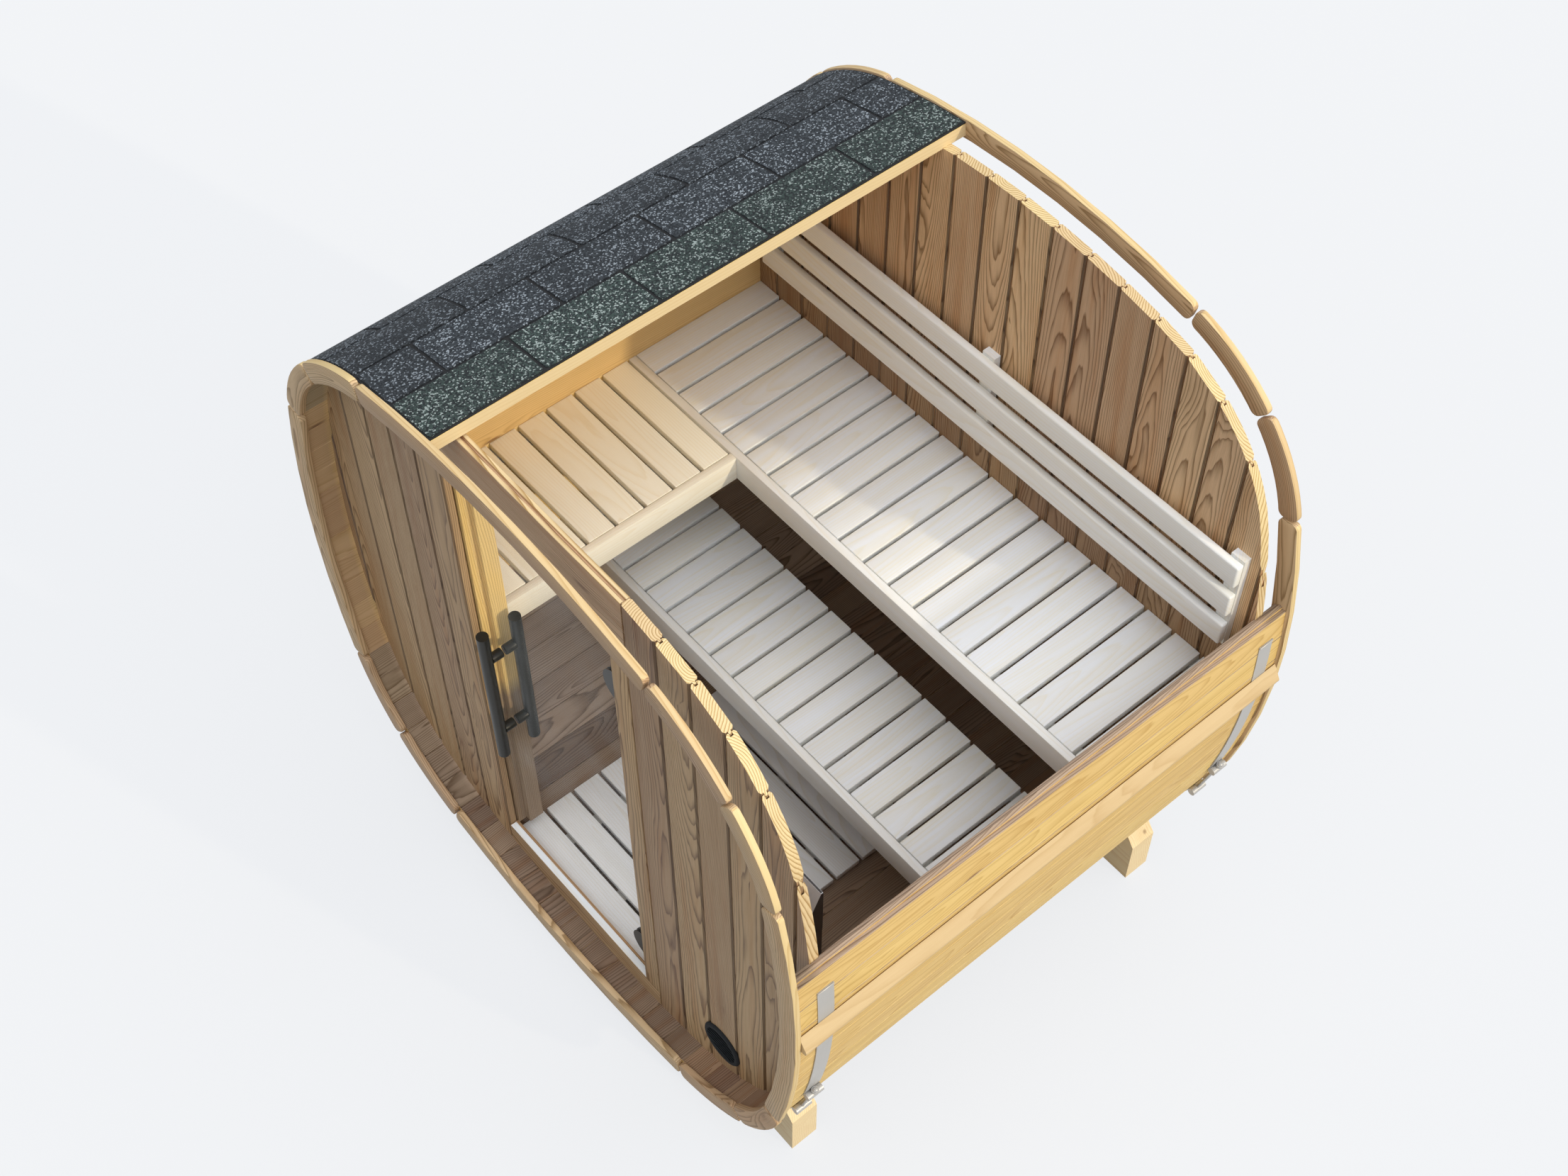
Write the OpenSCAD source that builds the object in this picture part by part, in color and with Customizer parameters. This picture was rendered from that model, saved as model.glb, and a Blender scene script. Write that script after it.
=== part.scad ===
// Barrel sauna with a rounded square section, shown as a cutaway: the upper right staves and
// roofing are left off, so that the benches inside are open to view.
// X runs to the right, Y from the door to the back wall, Z up, with the origin on the ground.

/* [Barrel] */
// Half of the trim ring's width and of its height
ring_half = 1030; // [980:5:1080]
// Radius of the ring's four flat sides
side_r = 2300; // [2200:10:2500]
// Radius of the ring's four corners
corner_r = 572; // [520:2:620]
// Length of the barrel over both trim rings
depth = 1672; // [1600:4:2000]
// Height of the ring's lowest point above the ground
ground_gap = 58; // [50:1:90]
// Clearance between curved pieces that fit
fit = 0.3; // [0.2:0.05:0.5]

/* [Staves and roofing] */
// Thickness of the staves
stave_t = 38; // [32:1:44]
// How far the staves lie inside the ring's outer edge
stave_inset = 12; // [10:1:18]
// Depth of the grooves that hold the end walls
groove_d = 6; // [4:1:12]
// Width of the roof's staves, from the upper left corner to the cut
roof_w = 287.5; // [150:2.5:400]
// Height of the right wall's cut edge above the barrel's axis
wall_cut = 245; // [200:5:300]
// Thickness of the shingle layer
shingle_t = 5; // [3:0.5:7]

/* [Trim rings] */
// Width of the ring boards
ring_w = 56; // [52:1:70]
// Thickness of the ring boards
ring_t = 19; // [15:1:28]
// Rounding at the ends of the ring boards
ring_round = 14; // [8:1:18]
// Gap between neighbouring ring boards
ring_gap = 0.6; // [0.4:0.1:0.8]

/* [End walls and door frame] */
// Thickness of the end walls
wall_t = 28; // [24:1:34]
// Front wall's face behind the front of the ring
front_recess = 88; // [80:1:110]
// Back wall's face before the back of the ring
rear_recess = 70; // [60:1:100]
// Left edge of the doorway from the centre line
door_left = 368; // [340:2:390]
// Right edge of the doorway from the centre line
door_right = 283; // [270:1:300]
// Height of the doorway's sill above the lowest point of the ring
sill_up = 150; // [137:1:172]
// Height of the header over the doorway
header_h = 188; // [140:2:240]
// Depth of the header's top edge below the top of the ring
header_drop = 72; // [68:1:100]
// Width of the groove along the header's top edge
header_groove = 8; // [6:0.5:10]
// Width of the right jamb
jamb_w = 62; // [50:1:70]
// Depth of both jambs from the front wall's face
jamb_d = 100; // [80:1:110]
// Step of the left jamb in front of the glass
jamb_step = 8; // [6:1:12]
// Depth of that step behind the front wall
step_d = 26; // [24:1:30]
// Width of the left jamb's stop behind the glass
jamb_stop = 20; // [16:1:26]
// Width of the left jamb beside the doorway
jamb_back = 62; // [50:1:70]

/* [Glass door] */
// Thickness of the glass
glass_t = 8; // [6:1:10]
// Middle of the glass behind the front wall's face
glass_in = 42; // [40:1:44]
// Gap between the glass and the frame
glass_gap = 6; // [5.5:0.5:8]
// Hinge axis before the right jamb
hinge_in = 15; // [14:1:18]
// Radius of the hinge knuckles
knuckle_r = 6; // [5:0.5:6.5]
// Height of each hinge
hinge_h = 118; // [90:2:140]
// Length of the hinge leaf on the glass
leaf_l = 72; // [50:1:90]
// Thickness of the hinge leaf
leaf_t = 6; // [4:0.5:8]
// Thickness of the cover on the outer side of the glass
cover_t = 2; // [1.5:0.5:2.5]
// Lower hinge above the sill
hinge_low = 82; // [60:1:120]
// Upper hinge below the head
hinge_high = 285; // [200:5:400]
// Radius of the handle bars
handle_r = 17; // [14:0.5:18]
// Length of the handle bars
handle_l = 548; // [400:4:700]
// Handle from the left edge of the doorway
handle_in = 70; // [60:1:90]
// Middle of a handle bar from the glass
handle_out = 51; // [48:1:60]
// Middle of the handle above the sill
handle_up = 766; // [650:2:900]
// Radius of the handle's standoffs
standoff_r = 11; // [8:0.5:13]
// Distance between the standoffs
standoff_gap = 328; // [250:2:400]

/* [Benches] */
// Height of the upper bench above the lower one
upper_up = 430; // [390:2:470]
// Depth of the upper bench
upper_d = 508; // [460:2:540]
// Gap between the side bench and the left edge of the doorway
side_in = 110; // [90:2:130]
// Height of the lower bench above the floor
lower_up = 447; // [417:2:477]
// Depth of the lower bench
lower_d = 402; // [360:2:420]
// Length that the lower bench reaches under the upper one
lower_under = 66; // [45:1:80]
// Width that is cut off the lower bench's first slat at the staves
lower_cut = 21; // [0:1:40]
// Width of the bench slats
slat_w = 94; // [80:1:100]
// Gap between slats
slat_gap = 8; // [6:0.5:12]
// Thickness of the slats
slat_t = 24; // [18:1:28]
// Height of the bench rails
rail_h = 92; // [80:1:110]
// Thickness of the bench rails
rail_t = 28; // [22:1:34]
// Side of the square bearers under the slats
bearer = 40; // [34:1:46]

/* [Backrest] */
// Height of a backrest slat
back_slat_h = 90; // [70:1:100]
// Pitch of the backrest slats
back_pitch = 119; // [112:1:130]
// Number of backrest slats
back_count = 3; // [2:1:3]
// Thickness of the backrest slats
back_slat_t = 24; // [18:1:28]
// Thickness of the backrest posts
post_t = 23; // [18:1:30]
// Width of the backrest posts
post_w = 45; // [35:1:60]
// Lowest backrest slat above the upper bench
back_up = 145; // [110:1:170]
// Gap between the backrest's ends and the staves
back_in = 23; // [10:1:60]

/* [Floor] */
// Height of the floor above the lowest point inside the staves
floor_up = 55; // [50:1:80]
// Gap between the floor's ends and the staves
floor_in = 18; // [10:1:60]
// Thickness of the floor slats
floor_t = 21; // [18:1:24]
// Number of floor slats
floor_count = 10; // [6:1:12]
// Distance of the outer floor bearers from the floor's ends
floor_bearer_in = 120; // [90:2:160]

/* [Heater] */
// Left side of the heater behind the right wall panel
heater_left = 7; // [5:1:20]
// Gap between the heater and the staves at its underside
heater_right = 67; // [40:1:120]
// Depth of the heater
heater_d = 279; // [240:1:300]
// Gap between the heater and the front wall
heater_gap = 24; // [15:1:40]
// Height of the heater's underside above the floor
heater_up = 95; // [60:1:140]
// Height of the heater's body
heater_h = 370; // [340:2:400]
// Height of the sloped deflector on the heater
deflector_h = 192; // [150:2:220]
// Depth of the deflector's foot
deflector_d = 89; // [60:1:110]
// Thickness of the deflector's top edge
deflector_top = 7; // [5:1:12]

/* [Bands, battens and vent] */
// Width of the steel bands
band_w = 50; // [40:1:56]
// Thickness of the steel bands
band_t = 2; // [1.5:0.25:3]
// Height of the right band's upper end above the barrel's axis
band_top = 165; // [120:5:190]
// Radius of the rolled ends of the bands
roll_r = 12; // [10:0.5:14]
// Radius of the tension rods
rod_r = 5; // [4:0.5:6]
// Angle from the upper rolled end to the end of the side
roll_side_a = 2.1; // [1.7:0.1:3]
// Angle from the end of the side to the lower rolled end
roll_corner_a = 8.3; // [6.5:0.1:14]
// Height of the batten's upper edge above the barrel's axis
batten_up = 20; // [10:1:40]
// Height of the battens
batten_h = 60; // [40:1:80]
// Thickness of the battens
batten_t = 26; // [18:1:34]
// Radius of the vent cover
vent_r = 72; // [60:1:80]
// Thickness of the vent cover
vent_t = 8; // [5:1:12]
// Middle of the vent from the edge of the front wall
vent_edge = 188; // [150:1:200]
// Middle of the vent above the sill
vent_up = 138; // [110:1:200]

/* [Cradles] */
// Thickness of the cradles
cradle_t = 88; // [70:1:110]
// Front of a cradle from the nearer end of the barrel
cradle_in = 131; // [129:1:200]
// Half of the cradle's length
cradle_half = 869; // [820:1:880]
// Height of the cradle's upright end
cradle_end = 172; // [140:1:190]
// Run of the cradle's chamfer
cradle_run = 74; // [60:1:90]
// Rise of the cradle's chamfer
cradle_rise = 101; // [80:1:120]

/* [Hidden] */
$fn = 96;
arc_fn = 360;

// Centres of the arcs: the side arcs lie on the axes, the corner arcs on the diagonals.
side_c = side_r - ring_half;
corner_c = (sqrt(2 * pow(side_r - corner_r, 2) - side_c * side_c) - side_c) / 2;
tangent_a = atan2(corner_c, corner_c + side_c);
axis_h = ground_gap + ring_half;
front_y = -depth / 2;
back_y = depth / 2;

stave_in = stave_inset + stave_t;
room_half = ring_half - stave_in;
groove_at = stave_in - groove_d;
groove_turn = 1;
wall_edge = groove_at + fit;
room_edge = stave_in + fit;
front_face = front_y + front_recess;
room_front = front_face + wall_t;
back_face = back_y - rear_recess;
room_back = back_face - wall_t;

stave_r = side_r - stave_inset;
roof_cut_a = asin(sin(tangent_a) - roof_w / stave_r);
wall_cut_a = asin(wall_cut / stave_r);

frame_right = door_right + jamb_w;
sill_h = ground_gap + sill_up;
header_top = ring_half - header_drop;
head_h = axis_h + header_top - header_h;
door_h = head_h - sill_h;
hinge_x = door_right - hinge_in;
glass_y = front_face + glass_in;
glass_l = -door_left + jamb_step + glass_gap;
glass_r = hinge_x - knuckle_r - glass_gap / 2;
hinge_heights = [sill_h + hinge_low, head_h - hinge_high];
handle_x = -door_left + handle_in;

floor_h = axis_h - room_half + floor_up;
lower_h = floor_h + lower_up;
upper_h = lower_h + upper_up;
slat_pitch = slat_w + slat_gap;
upper_y = room_back - upper_d;
lower_y = upper_y + lower_under - lower_d;
side_x = -door_left - side_in;
upper_low = upper_h - slat_t;
lower_low = lower_h - slat_t;
back_low = upper_h + back_up;
back_high = back_low + (back_count - 1) * back_pitch + back_slat_h;
back_half = half_at(back_high + slat_gap - axis_h, room_edge) - back_in;
lower_start = half_at(lower_h - axis_h, room_edge) + lower_cut;
floor_half = half_at(floor_h - floor_t - axis_h, room_edge) - floor_in;
floor_bearer_x = floor_half - floor_bearer_in;
vent_h = sill_h + vent_up;
vent_x = half_at(vent_h - axis_h, wall_edge) - vent_edge;

heater_low = floor_h + heater_up;
heater_x = frame_right + heater_left;
heater_w = half_at(heater_low - axis_h, room_edge) - heater_right - heater_x;
heater_y = room_front + heater_gap;
heater_top = heater_low + heater_h;

band_out = stave_inset - fit - band_t;
band_in = stave_inset - fit;
band_ys = [(front_face + room_front) / 2, (back_face + room_back) / 2];
roll_off = roll_r + fit;
roll_up = tangent_a - roll_side_a;
roll_low = tangent_a + roll_corner_a;
batten_x = ring_half - stave_inset + band_t + 2 * fit;
eaves_a = asin((batten_up + 2) / stave_r);

function polar(r, a) = [r * cos(a), r * sin(a)];
function turned(p, a) = [p[0] * cos(a) - p[1] * sin(a), p[0] * sin(a) + p[1] * cos(a)];
function tangent_point(inset, a) = [-side_c, 0] + polar(side_r - inset, a);
function half_at(z, inset) =
  let (a = abs(z), meet = tangent_point(inset, tangent_a))
  a < meet[1] ? sqrt(pow(side_r - inset, 2) - a * a) - side_c
  : a < meet[0] ? sqrt(pow(corner_r - inset, 2) - pow(a - corner_c, 2)) + corner_c
  : sqrt(pow(side_r - inset, 2) - pow(a + side_c, 2));
function upper_roll() = [-side_c, 0] + polar(stave_r + roll_off, -roll_up);
function lower_roll() = [corner_c, -corner_c] + polar(corner_r - stave_inset + roll_off, -roll_low);

// Flat pie slice from angle a0 to a1 that reaches past radius r
module wedge(r, a0, a1) {
  reach = 1.2 * r / cos((a1 - a0) / 2);
  polygon([[0, 0], polar(reach, a0), polar(reach, (a0 + a1) / 2), polar(reach, a1)]);
}

// Flat band between two radii and two angles
module arc_band(r_out, r_in, a0, a1) {
  intersection() {
    difference() {
      circle(r_out, $fn = arc_fn);
      circle(r_in, $fn = arc_fn);
    }
    wedge(r_out, a0, a1);
  }
}

// Band along the right side, between two distances from the ring's outer edge
module side_band(outer, inner, a0 = -tangent_a, a1 = tangent_a) {
  translate([-side_c, 0]) arc_band(side_r - outer, side_r - inner, a0, a1);
}

// Band around the upper right corner, between two distances from the ring's outer edge
module corner_band(outer, inner, a0 = tangent_a, a1 = 90 - tangent_a) {
  translate([corner_c, corner_c]) arc_band(corner_r - outer, corner_r - inner, a0, a1);
}

// Arc-shaped board with rounded ends
module rounded_arc(r_out, r_in, a0, a1, q) {
  so = asin(q / (r_out - q));
  si = asin(q / (r_in + q));
  mid = (r_out + r_in) / 2;
  arc_band(r_out - q, r_in + q, a0, a1);
  arc_band(r_out, mid, a0 + so, a1 - so);
  arc_band(mid, r_in, a0 + si, a1 - si);
  for (a = [a0 + so, a1 - so]) translate(polar(r_out - q, a)) circle(q);
  for (a = [a0 + si, a1 - si]) translate(polar(r_in + q, a)) circle(q);
}

// Whole rounded square, set in from the ring's outer edge
module section(inset) {
  ends = [for (i = [0:3]) for (a = [-tangent_a, tangent_a]) turned(tangent_point(inset, a), 90 * i)];
  half = tangent_point(inset, tangent_a)[1];
  polygon(ends);
  for (i = [0:3]) rotate(90 * i) {
    intersection() {
      translate([-side_c, 0]) circle(side_r - inset, $fn = arc_fn);
      translate([0, -half]) square([ring_half, 2 * half]);
    }
    translate([corner_c, corner_c]) intersection() {
      circle(corner_r - inset, $fn = arc_fn);
      wedge(corner_r, tangent_a, 90 - tangent_a);
    }
  }
}

// Stretches a flat shape along the barrel, from y over a length
module along(y, length) {
  translate([0, y + length, axis_h]) rotate([90, 0, 0]) linear_extrude(length) children();
}

// Stretches a flat shape, drawn in Y and Z, along X from x over a length
module across(x, length) {
  translate([x, 0, 0]) rotate([90, 0, 90]) linear_extrude(length) children();
}

// Keeps what lies between the arcs of the two sides
module in_room() {
  intersection() {
    along(room_front, room_back - room_front) intersection() {
      translate([-side_c, 0]) circle(side_r - room_edge, $fn = arc_fn);
      translate([side_c, 0]) circle(side_r - room_edge, $fn = arc_fn);
    }
    children();
  }
}

// Keeps what lies above the arc of the bottom
module above_bottom() {
  intersection() {
    along(room_front, room_back - room_front)
      translate([0, side_c]) circle(side_r - room_edge, $fn = arc_fn);
    children();
  }
}

// Keeps what lies between the arcs of the two lower corners
module in_low_room() {
  intersection() {
    along(room_front, room_back - room_front) {
      for (side = [-1, 1]) translate([side * corner_c, -corner_c]) circle(corner_r - room_edge, $fn = arc_fn);
      translate([-corner_c, -corner_c - corner_r / 2]) square([2 * corner_c, corner_r]);
    }
    children();
  }
}

// Box from its lowest to its highest corner
module block(low, high) {
  translate(low) cube(high - low);
}

// Staves of one stretch of the barrel, with the grooves for both end walls
module staves() {
  difference() {
    along(front_y + ring_t, depth - 2 * ring_t) children(0);
    for (y = [front_face, room_back]) along(y - fit, wall_t + 2 * fit) children(1);
  }
}

module side_staves(turn, a0, a1) {
  staves() {
    rotate(turn) side_band(stave_inset, stave_in, a0, a1);
    rotate(turn) side_band(groove_at, stave_in + stave_t, a0 - groove_turn, a1 + groove_turn);
  }
}

module corner_staves(turn) {
  staves() {
    rotate(turn) corner_band(stave_inset, stave_in);
    rotate(turn) corner_band(groove_at, stave_in + stave_t, tangent_a - groove_turn, 90 - tangent_a + groove_turn);
  }
}

module left_staves() color("peru") side_staves(180, -tangent_a, tangent_a);
module bottom_staves() color("peru") side_staves(270, -tangent_a, tangent_a);
module right_staves() color("sandybrown") side_staves(0, -tangent_a, wall_cut_a);
module roof_staves() color("peru") side_staves(90, roof_cut_a, tangent_a);
module top_left_staves() color("peru") corner_staves(90);
module bottom_left_staves() color("peru") corner_staves(180);
module bottom_right_staves() color("sandybrown") corner_staves(270);

// Shingle layer in three strips: over the roof, round the corner and down to the left batten
module shingle_roof() {
  outer = stave_inset - fit - shingle_t;
  inner = stave_inset - fit;
  seam = asin(fit / corner_r);
  color("darkslategray") along(front_y + ring_t + fit, depth - 2 * ring_t - 2 * fit) {
    rotate(90) side_band(outer, inner, roof_cut_a, tangent_a);
    rotate(90) corner_band(outer, inner, tangent_a + seam, 90 - tangent_a - seam);
    rotate(180) side_band(outer, inner, -tangent_a, -eaves_a);
  }
}

// The four long boards of a trim ring
module ring_sides(y) {
  trim = asin(ring_gap / 2 / side_r);
  along(y, ring_t) for (i = [0:3]) rotate(90 * i) translate([-side_c, 0])
    rounded_arc(side_r, side_r - ring_w, trim - tangent_a, tangent_a - trim, ring_round);
}

// The eight short boards of a trim ring, in pairs that meet on the diagonals
module ring_corners(y) {
  trim = asin(ring_gap / 2 / corner_r);
  along(y, ring_t) for (i = [0:3]) rotate(90 * i) translate([corner_c, corner_c]) {
    rounded_arc(corner_r, corner_r - ring_w, tangent_a + trim, 45 - trim, ring_round);
    rounded_arc(corner_r, corner_r - ring_w, 45 + trim, 90 - tangent_a - trim, ring_round);
  }
}

module front_ring_sides() color("burlywood") ring_sides(front_y);
module front_ring_corners() color("burlywood") ring_corners(front_y);
module rear_ring_sides() color("burlywood") ring_sides(back_y - ring_t);
module rear_ring_corners() color("burlywood") ring_corners(back_y - ring_t);

// Upright strip of an end wall, between two widths
module strip(x0, x1) {
  if (x1 > x0) intersection() {
    translate([x0, -ring_half]) square([x1 - x0, 2 * ring_half]);
    children();
  }
}

// Middle of an end wall, between the arcs of the top and the bottom
module middle_wall(x0, x1) {
  half = tangent_point(wall_edge, tangent_a)[1] - fit / 2;
  strip(max(x0, -half), min(x1, half)) intersection() {
    translate([0, side_c]) circle(side_r - wall_edge, $fn = arc_fn);
    translate([0, -side_c]) circle(side_r - wall_edge, $fn = arc_fn);
  }
}

// Right part of an end wall: a strip between two corners and the cap along the side
module outer_wall(x0, x1) {
  meet = tangent_point(wall_edge, tangent_a);
  strip(max(x0, meet[1] + fit / 2), min(x1, meet[0] - fit / 2)) {
    for (side = [-1, 1]) translate([corner_c, side * corner_c])
      circle(corner_r - wall_edge, $fn = arc_fn);
    translate([0, -corner_c]) square([ring_half, 2 * corner_c]);
  }
  strip(max(x0, meet[0] + fit / 2), x1)
    translate([-side_c, 0]) circle(side_r - wall_edge, $fn = arc_fn);
}

// End wall between two widths
module end_wall(x0, x1) {
  middle_wall(x0, x1);
  outer_wall(x0, x1);
  mirror([1, 0]) outer_wall(-x1, -x0);
}

// Piece of the middle wall between two heights above the barrel's axis
module door_panel(z0, z1) {
  along(front_face, wall_t) intersection() {
    middle_wall(-door_left, frame_right);
    translate([-door_left, z0]) square([door_left + frame_right, z1 - z0]);
  }
}

module front_wall_left() color("tan") along(front_face, wall_t) end_wall(-ring_half, -door_left);
module front_wall_right() color("tan") along(front_face, wall_t) end_wall(frame_right, ring_half);

// Board over the doorway, with the groove that the next board's tongue would fill
module door_header() color("tan") difference() {
  middle = (front_face + room_front) / 2;
  door_panel(head_h - axis_h, header_top);
  block([-ring_half, middle - header_groove / 2, axis_h + header_top - header_groove],
    [ring_half, middle + header_groove / 2, axis_h + ring_half]);
}

module door_sill() color("wheat") door_panel(-ring_half, sill_h - axis_h);

module door_jamb_left() {
  step = -door_left + jamb_step;
  color("goldenrod") translate([0, 0, sill_h]) linear_extrude(door_h) polygon([
    [-door_left - jamb_back, room_front], [step, room_front], [step, room_front + step_d],
    [step + jamb_stop, room_front + step_d], [step + jamb_stop, front_face + jamb_d],
    [-door_left - jamb_back, front_face + jamb_d]
  ]);
}

module door_jamb_right() color("tan")
  block([door_right, front_face, sill_h], [frame_right, front_face + jamb_d, head_h]);

module door_glass() color("lightblue", 0.4) block(
  [glass_l, glass_y - glass_t / 2, sill_h + glass_gap],
  [glass_r, glass_y + glass_t / 2, head_h - glass_gap]);

// One bar of the door handle with its two standoffs, on the side of the glass given by the sign
module handle_bar(side) {
  translate([handle_x, glass_y + side * handle_out, sill_h + handle_up - handle_l / 2])
    cylinder(r = handle_r, h = handle_l);
  for (dz = [-1, 1])
    translate([handle_x, glass_y + side * glass_t / 2, sill_h + handle_up + dz * standoff_gap / 2])
      rotate([-90 * side, 0, 0]) cylinder(r = standoff_r, h = handle_out - glass_t / 2);
}

module door_handle() color("dimgray") {
  handle_bar(-1);
  handle_bar(1);
}

// Leaf on the inner side of the glass, its middle knuckle and the cover on the outer side
module door_hinge_leaves() color("black") for (z = hinge_heights) translate([hinge_x, glass_y, z]) {
  inner = glass_t / 2;
  knuckle_h = hinge_h / 3 - glass_gap / 3;
  end_r = hinge_h / 2;
  translate([0, 0, -knuckle_h / 2]) difference() {
    union() {
      cylinder(r = knuckle_r, h = knuckle_h);
      block([-glass_gap - knuckle_r, 0, 0], [0, inner + leaf_t, knuckle_h]);
    }
    block([-glass_gap - knuckle_r - 1, -inner - 1, -1], [glass_r - hinge_x, inner, knuckle_h + 1]);
    translate([0, 0, -1]) cylinder(r = knuckle_r / 2, h = knuckle_h + 2);
  }
  translate([glass_r - hinge_x, inner, 0]) rotate([-90, 0, 0]) leaf_plate(leaf_t, end_r);
  translate([glass_r - hinge_x, -inner, 0]) rotate([90, 0, 0]) leaf_plate(cover_t, end_r);
}

// Oval leaf that ends square at the hinge side
module leaf_plate(thick, end_r) {
  linear_extrude(thick) intersection() {
    translate([-leaf_l + end_r, 0]) union() {
      circle(end_r);
      translate([0, -end_r]) square([leaf_l, 2 * end_r]);
    }
    translate([-leaf_l, -end_r]) square([leaf_l, 2 * end_r]);
  }
}

// Plates on the right jamb with the upper and lower knuckles and the hinge pin
module jamb_hinge_plates() color("black") for (z = hinge_heights) translate([hinge_x, glass_y, z]) {
  plate_t = hinge_in / 4;
  knuckle_h = hinge_h / 3;
  block([hinge_in - plate_t, -glass_t, -hinge_h / 2], [hinge_in, jamb_d - glass_in, hinge_h / 2]);
  for (z0 = [-hinge_h / 2, hinge_h / 2 - knuckle_h]) {
    translate([0, 0, z0]) cylinder(r = knuckle_r, h = knuckle_h);
    block([0, -knuckle_r / 2, z0], [hinge_in, knuckle_r / 2, z0 + knuckle_h]);
  }
  translate([0, 0, -hinge_h / 2]) cylinder(r = knuckle_r / 2 - fit, h = hinge_h);
}

module vent_cover() color("black")
  translate([vent_x, front_face, vent_h]) rotate([90, 0, 0]) cylinder(r = vent_r, h = vent_t);

module back_wall() color("peru") along(room_back, wall_t) end_wall(-ring_half, ring_half);

module upper_bench_slats() color("ivory") for (x = [-room_half:slat_pitch:room_half - slat_gap])
  in_room() block([x, upper_y + rail_t, upper_low], [x + slat_w, room_back, upper_h]);

module upper_bench_rail() color("ivory") in_room()
  block([-ring_half, upper_y, upper_h - rail_h], [ring_half, upper_y + rail_t, upper_h]);

module side_bench_slats() color("ivory") for (y = [upper_y - slat_pitch:-slat_pitch:room_front])
  in_room() block([-ring_half, y, upper_low], [side_x - rail_t, y + slat_w, upper_h]);

module side_bench_rail() color("ivory")
  block([side_x - rail_t, room_front, upper_h - rail_h], [side_x, upper_y, upper_h]);

module lower_bench_slats() color("ivory") for (x = [-lower_start:slat_pitch:lower_start])
  in_low_room() block([x, lower_y + rail_t, lower_low], [x + slat_w, lower_y + lower_d, lower_h]);

module lower_bench_rail() color("ivory") in_low_room()
  block([-ring_half, lower_y, lower_h - rail_h], [ring_half, lower_y + rail_t, lower_h]);

// Bearers that carry the slats of all three benches
module bench_bearers() color("tan") {
  upper_ys = [upper_y + rail_t, room_back - bearer];
  lower_ys = [lower_y + rail_t, lower_y + lower_d - bearer];
  for (y = upper_ys) in_room() block([-ring_half, y, upper_low - bearer], [ring_half, y + bearer, upper_low]);
  for (y = lower_ys) in_low_room()
    block([-ring_half, y, lower_low - bearer], [ring_half, y + bearer, lower_low]);
  in_room() block([-ring_half, room_front, upper_low - bearer], [-room_half + bearer, upper_y, upper_low]);
  block([side_x - rail_t - bearer, room_front, upper_low - bearer], [side_x - rail_t, upper_y, upper_low]);
}

module backrest_slats() color("ivory") for (i = [0:back_count - 1]) {
  z = back_low + i * back_pitch;
  y = room_back - post_t;
  block([-back_half, y - back_slat_t, z], [back_half, y, z + back_slat_h]);
}

module backrest_posts() color("ivory")
  for (x = [-back_half + post_w / 2, 0, back_half - post_w / 2])
    block([x - post_w / 2, room_back - post_t, back_low - slat_gap],
      [x + post_w / 2, room_back, back_high + slat_gap]);

module floor_slats() color("ivory") for (i = [0:floor_count - 1]) {
  y = room_front + i * slat_pitch;
  block([-floor_half, y, floor_h - floor_t], [floor_half, y + slat_w, floor_h]);
}

module floor_bearers() color("tan") for (x = [-floor_bearer_x, 0, floor_bearer_x])
  above_bottom() block([x - bearer / 2, room_front, ground_gap],
    [x + bearer / 2, room_front + floor_count * slat_pitch - slat_gap, floor_h - floor_t]);

module heater_body() color("dimgray") {
  block([heater_x, heater_y, heater_low], [heater_x + heater_w, heater_y + heater_d, heater_top]);
  block([heater_x + heater_gap, room_front, heater_low + heater_gap],
    [heater_x + heater_w - heater_gap, heater_y, heater_top - heater_gap]);
}

module heater_deflector() color("gainsboro") across(heater_x, heater_w) {
  y = heater_y + heater_d;
  polygon([[y - deflector_d, heater_top], [y, heater_top], [y, heater_top + deflector_h],
    [y - deflector_top, heater_top + deflector_h]]);
}

// One band: two side straps, the strap under the barrel and four rolled ends bored for the rods
module steel_bands() color("silver") for (y = band_ys) difference() {
  union() {
    along(y - band_w / 2, band_w) {
      side_band(band_out, band_in, -roll_up, asin(band_top / stave_r));
      rotate(180) side_band(band_out, band_in, 0, roll_up);
      rotate(270) corner_band(band_out, band_in, tangent_a, 90 - roll_low);
      rotate(270) side_band(band_out, band_in);
      rotate(180) corner_band(band_out, band_in, roll_low, 90 - tangent_a);
    }
    for (side = [0, 1]) mirror([side, 0, 0]) for (p = [upper_roll(), lower_roll()])
      translate([p[0], y + band_w / 2, axis_h + p[1]]) rotate([90, 0, 0]) cylinder(r = roll_r, h = band_w);
  }
  for (side = [0, 1]) mirror([side, 0, 0]) rod(y, rod_r + fit, roll_r * 3);
}

// Straight rod through a pair of rolled ends, longer by the overhang at each end
module rod(y, r, overhang) {
  run = upper_roll() - lower_roll();
  tilt = atan2(run[0], run[1]);
  translate([lower_roll()[0], y, axis_h + lower_roll()[1]]) rotate([0, tilt, 0])
    translate([0, 0, -overhang]) cylinder(r = r, h = norm(run) + 2 * overhang);
}

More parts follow.
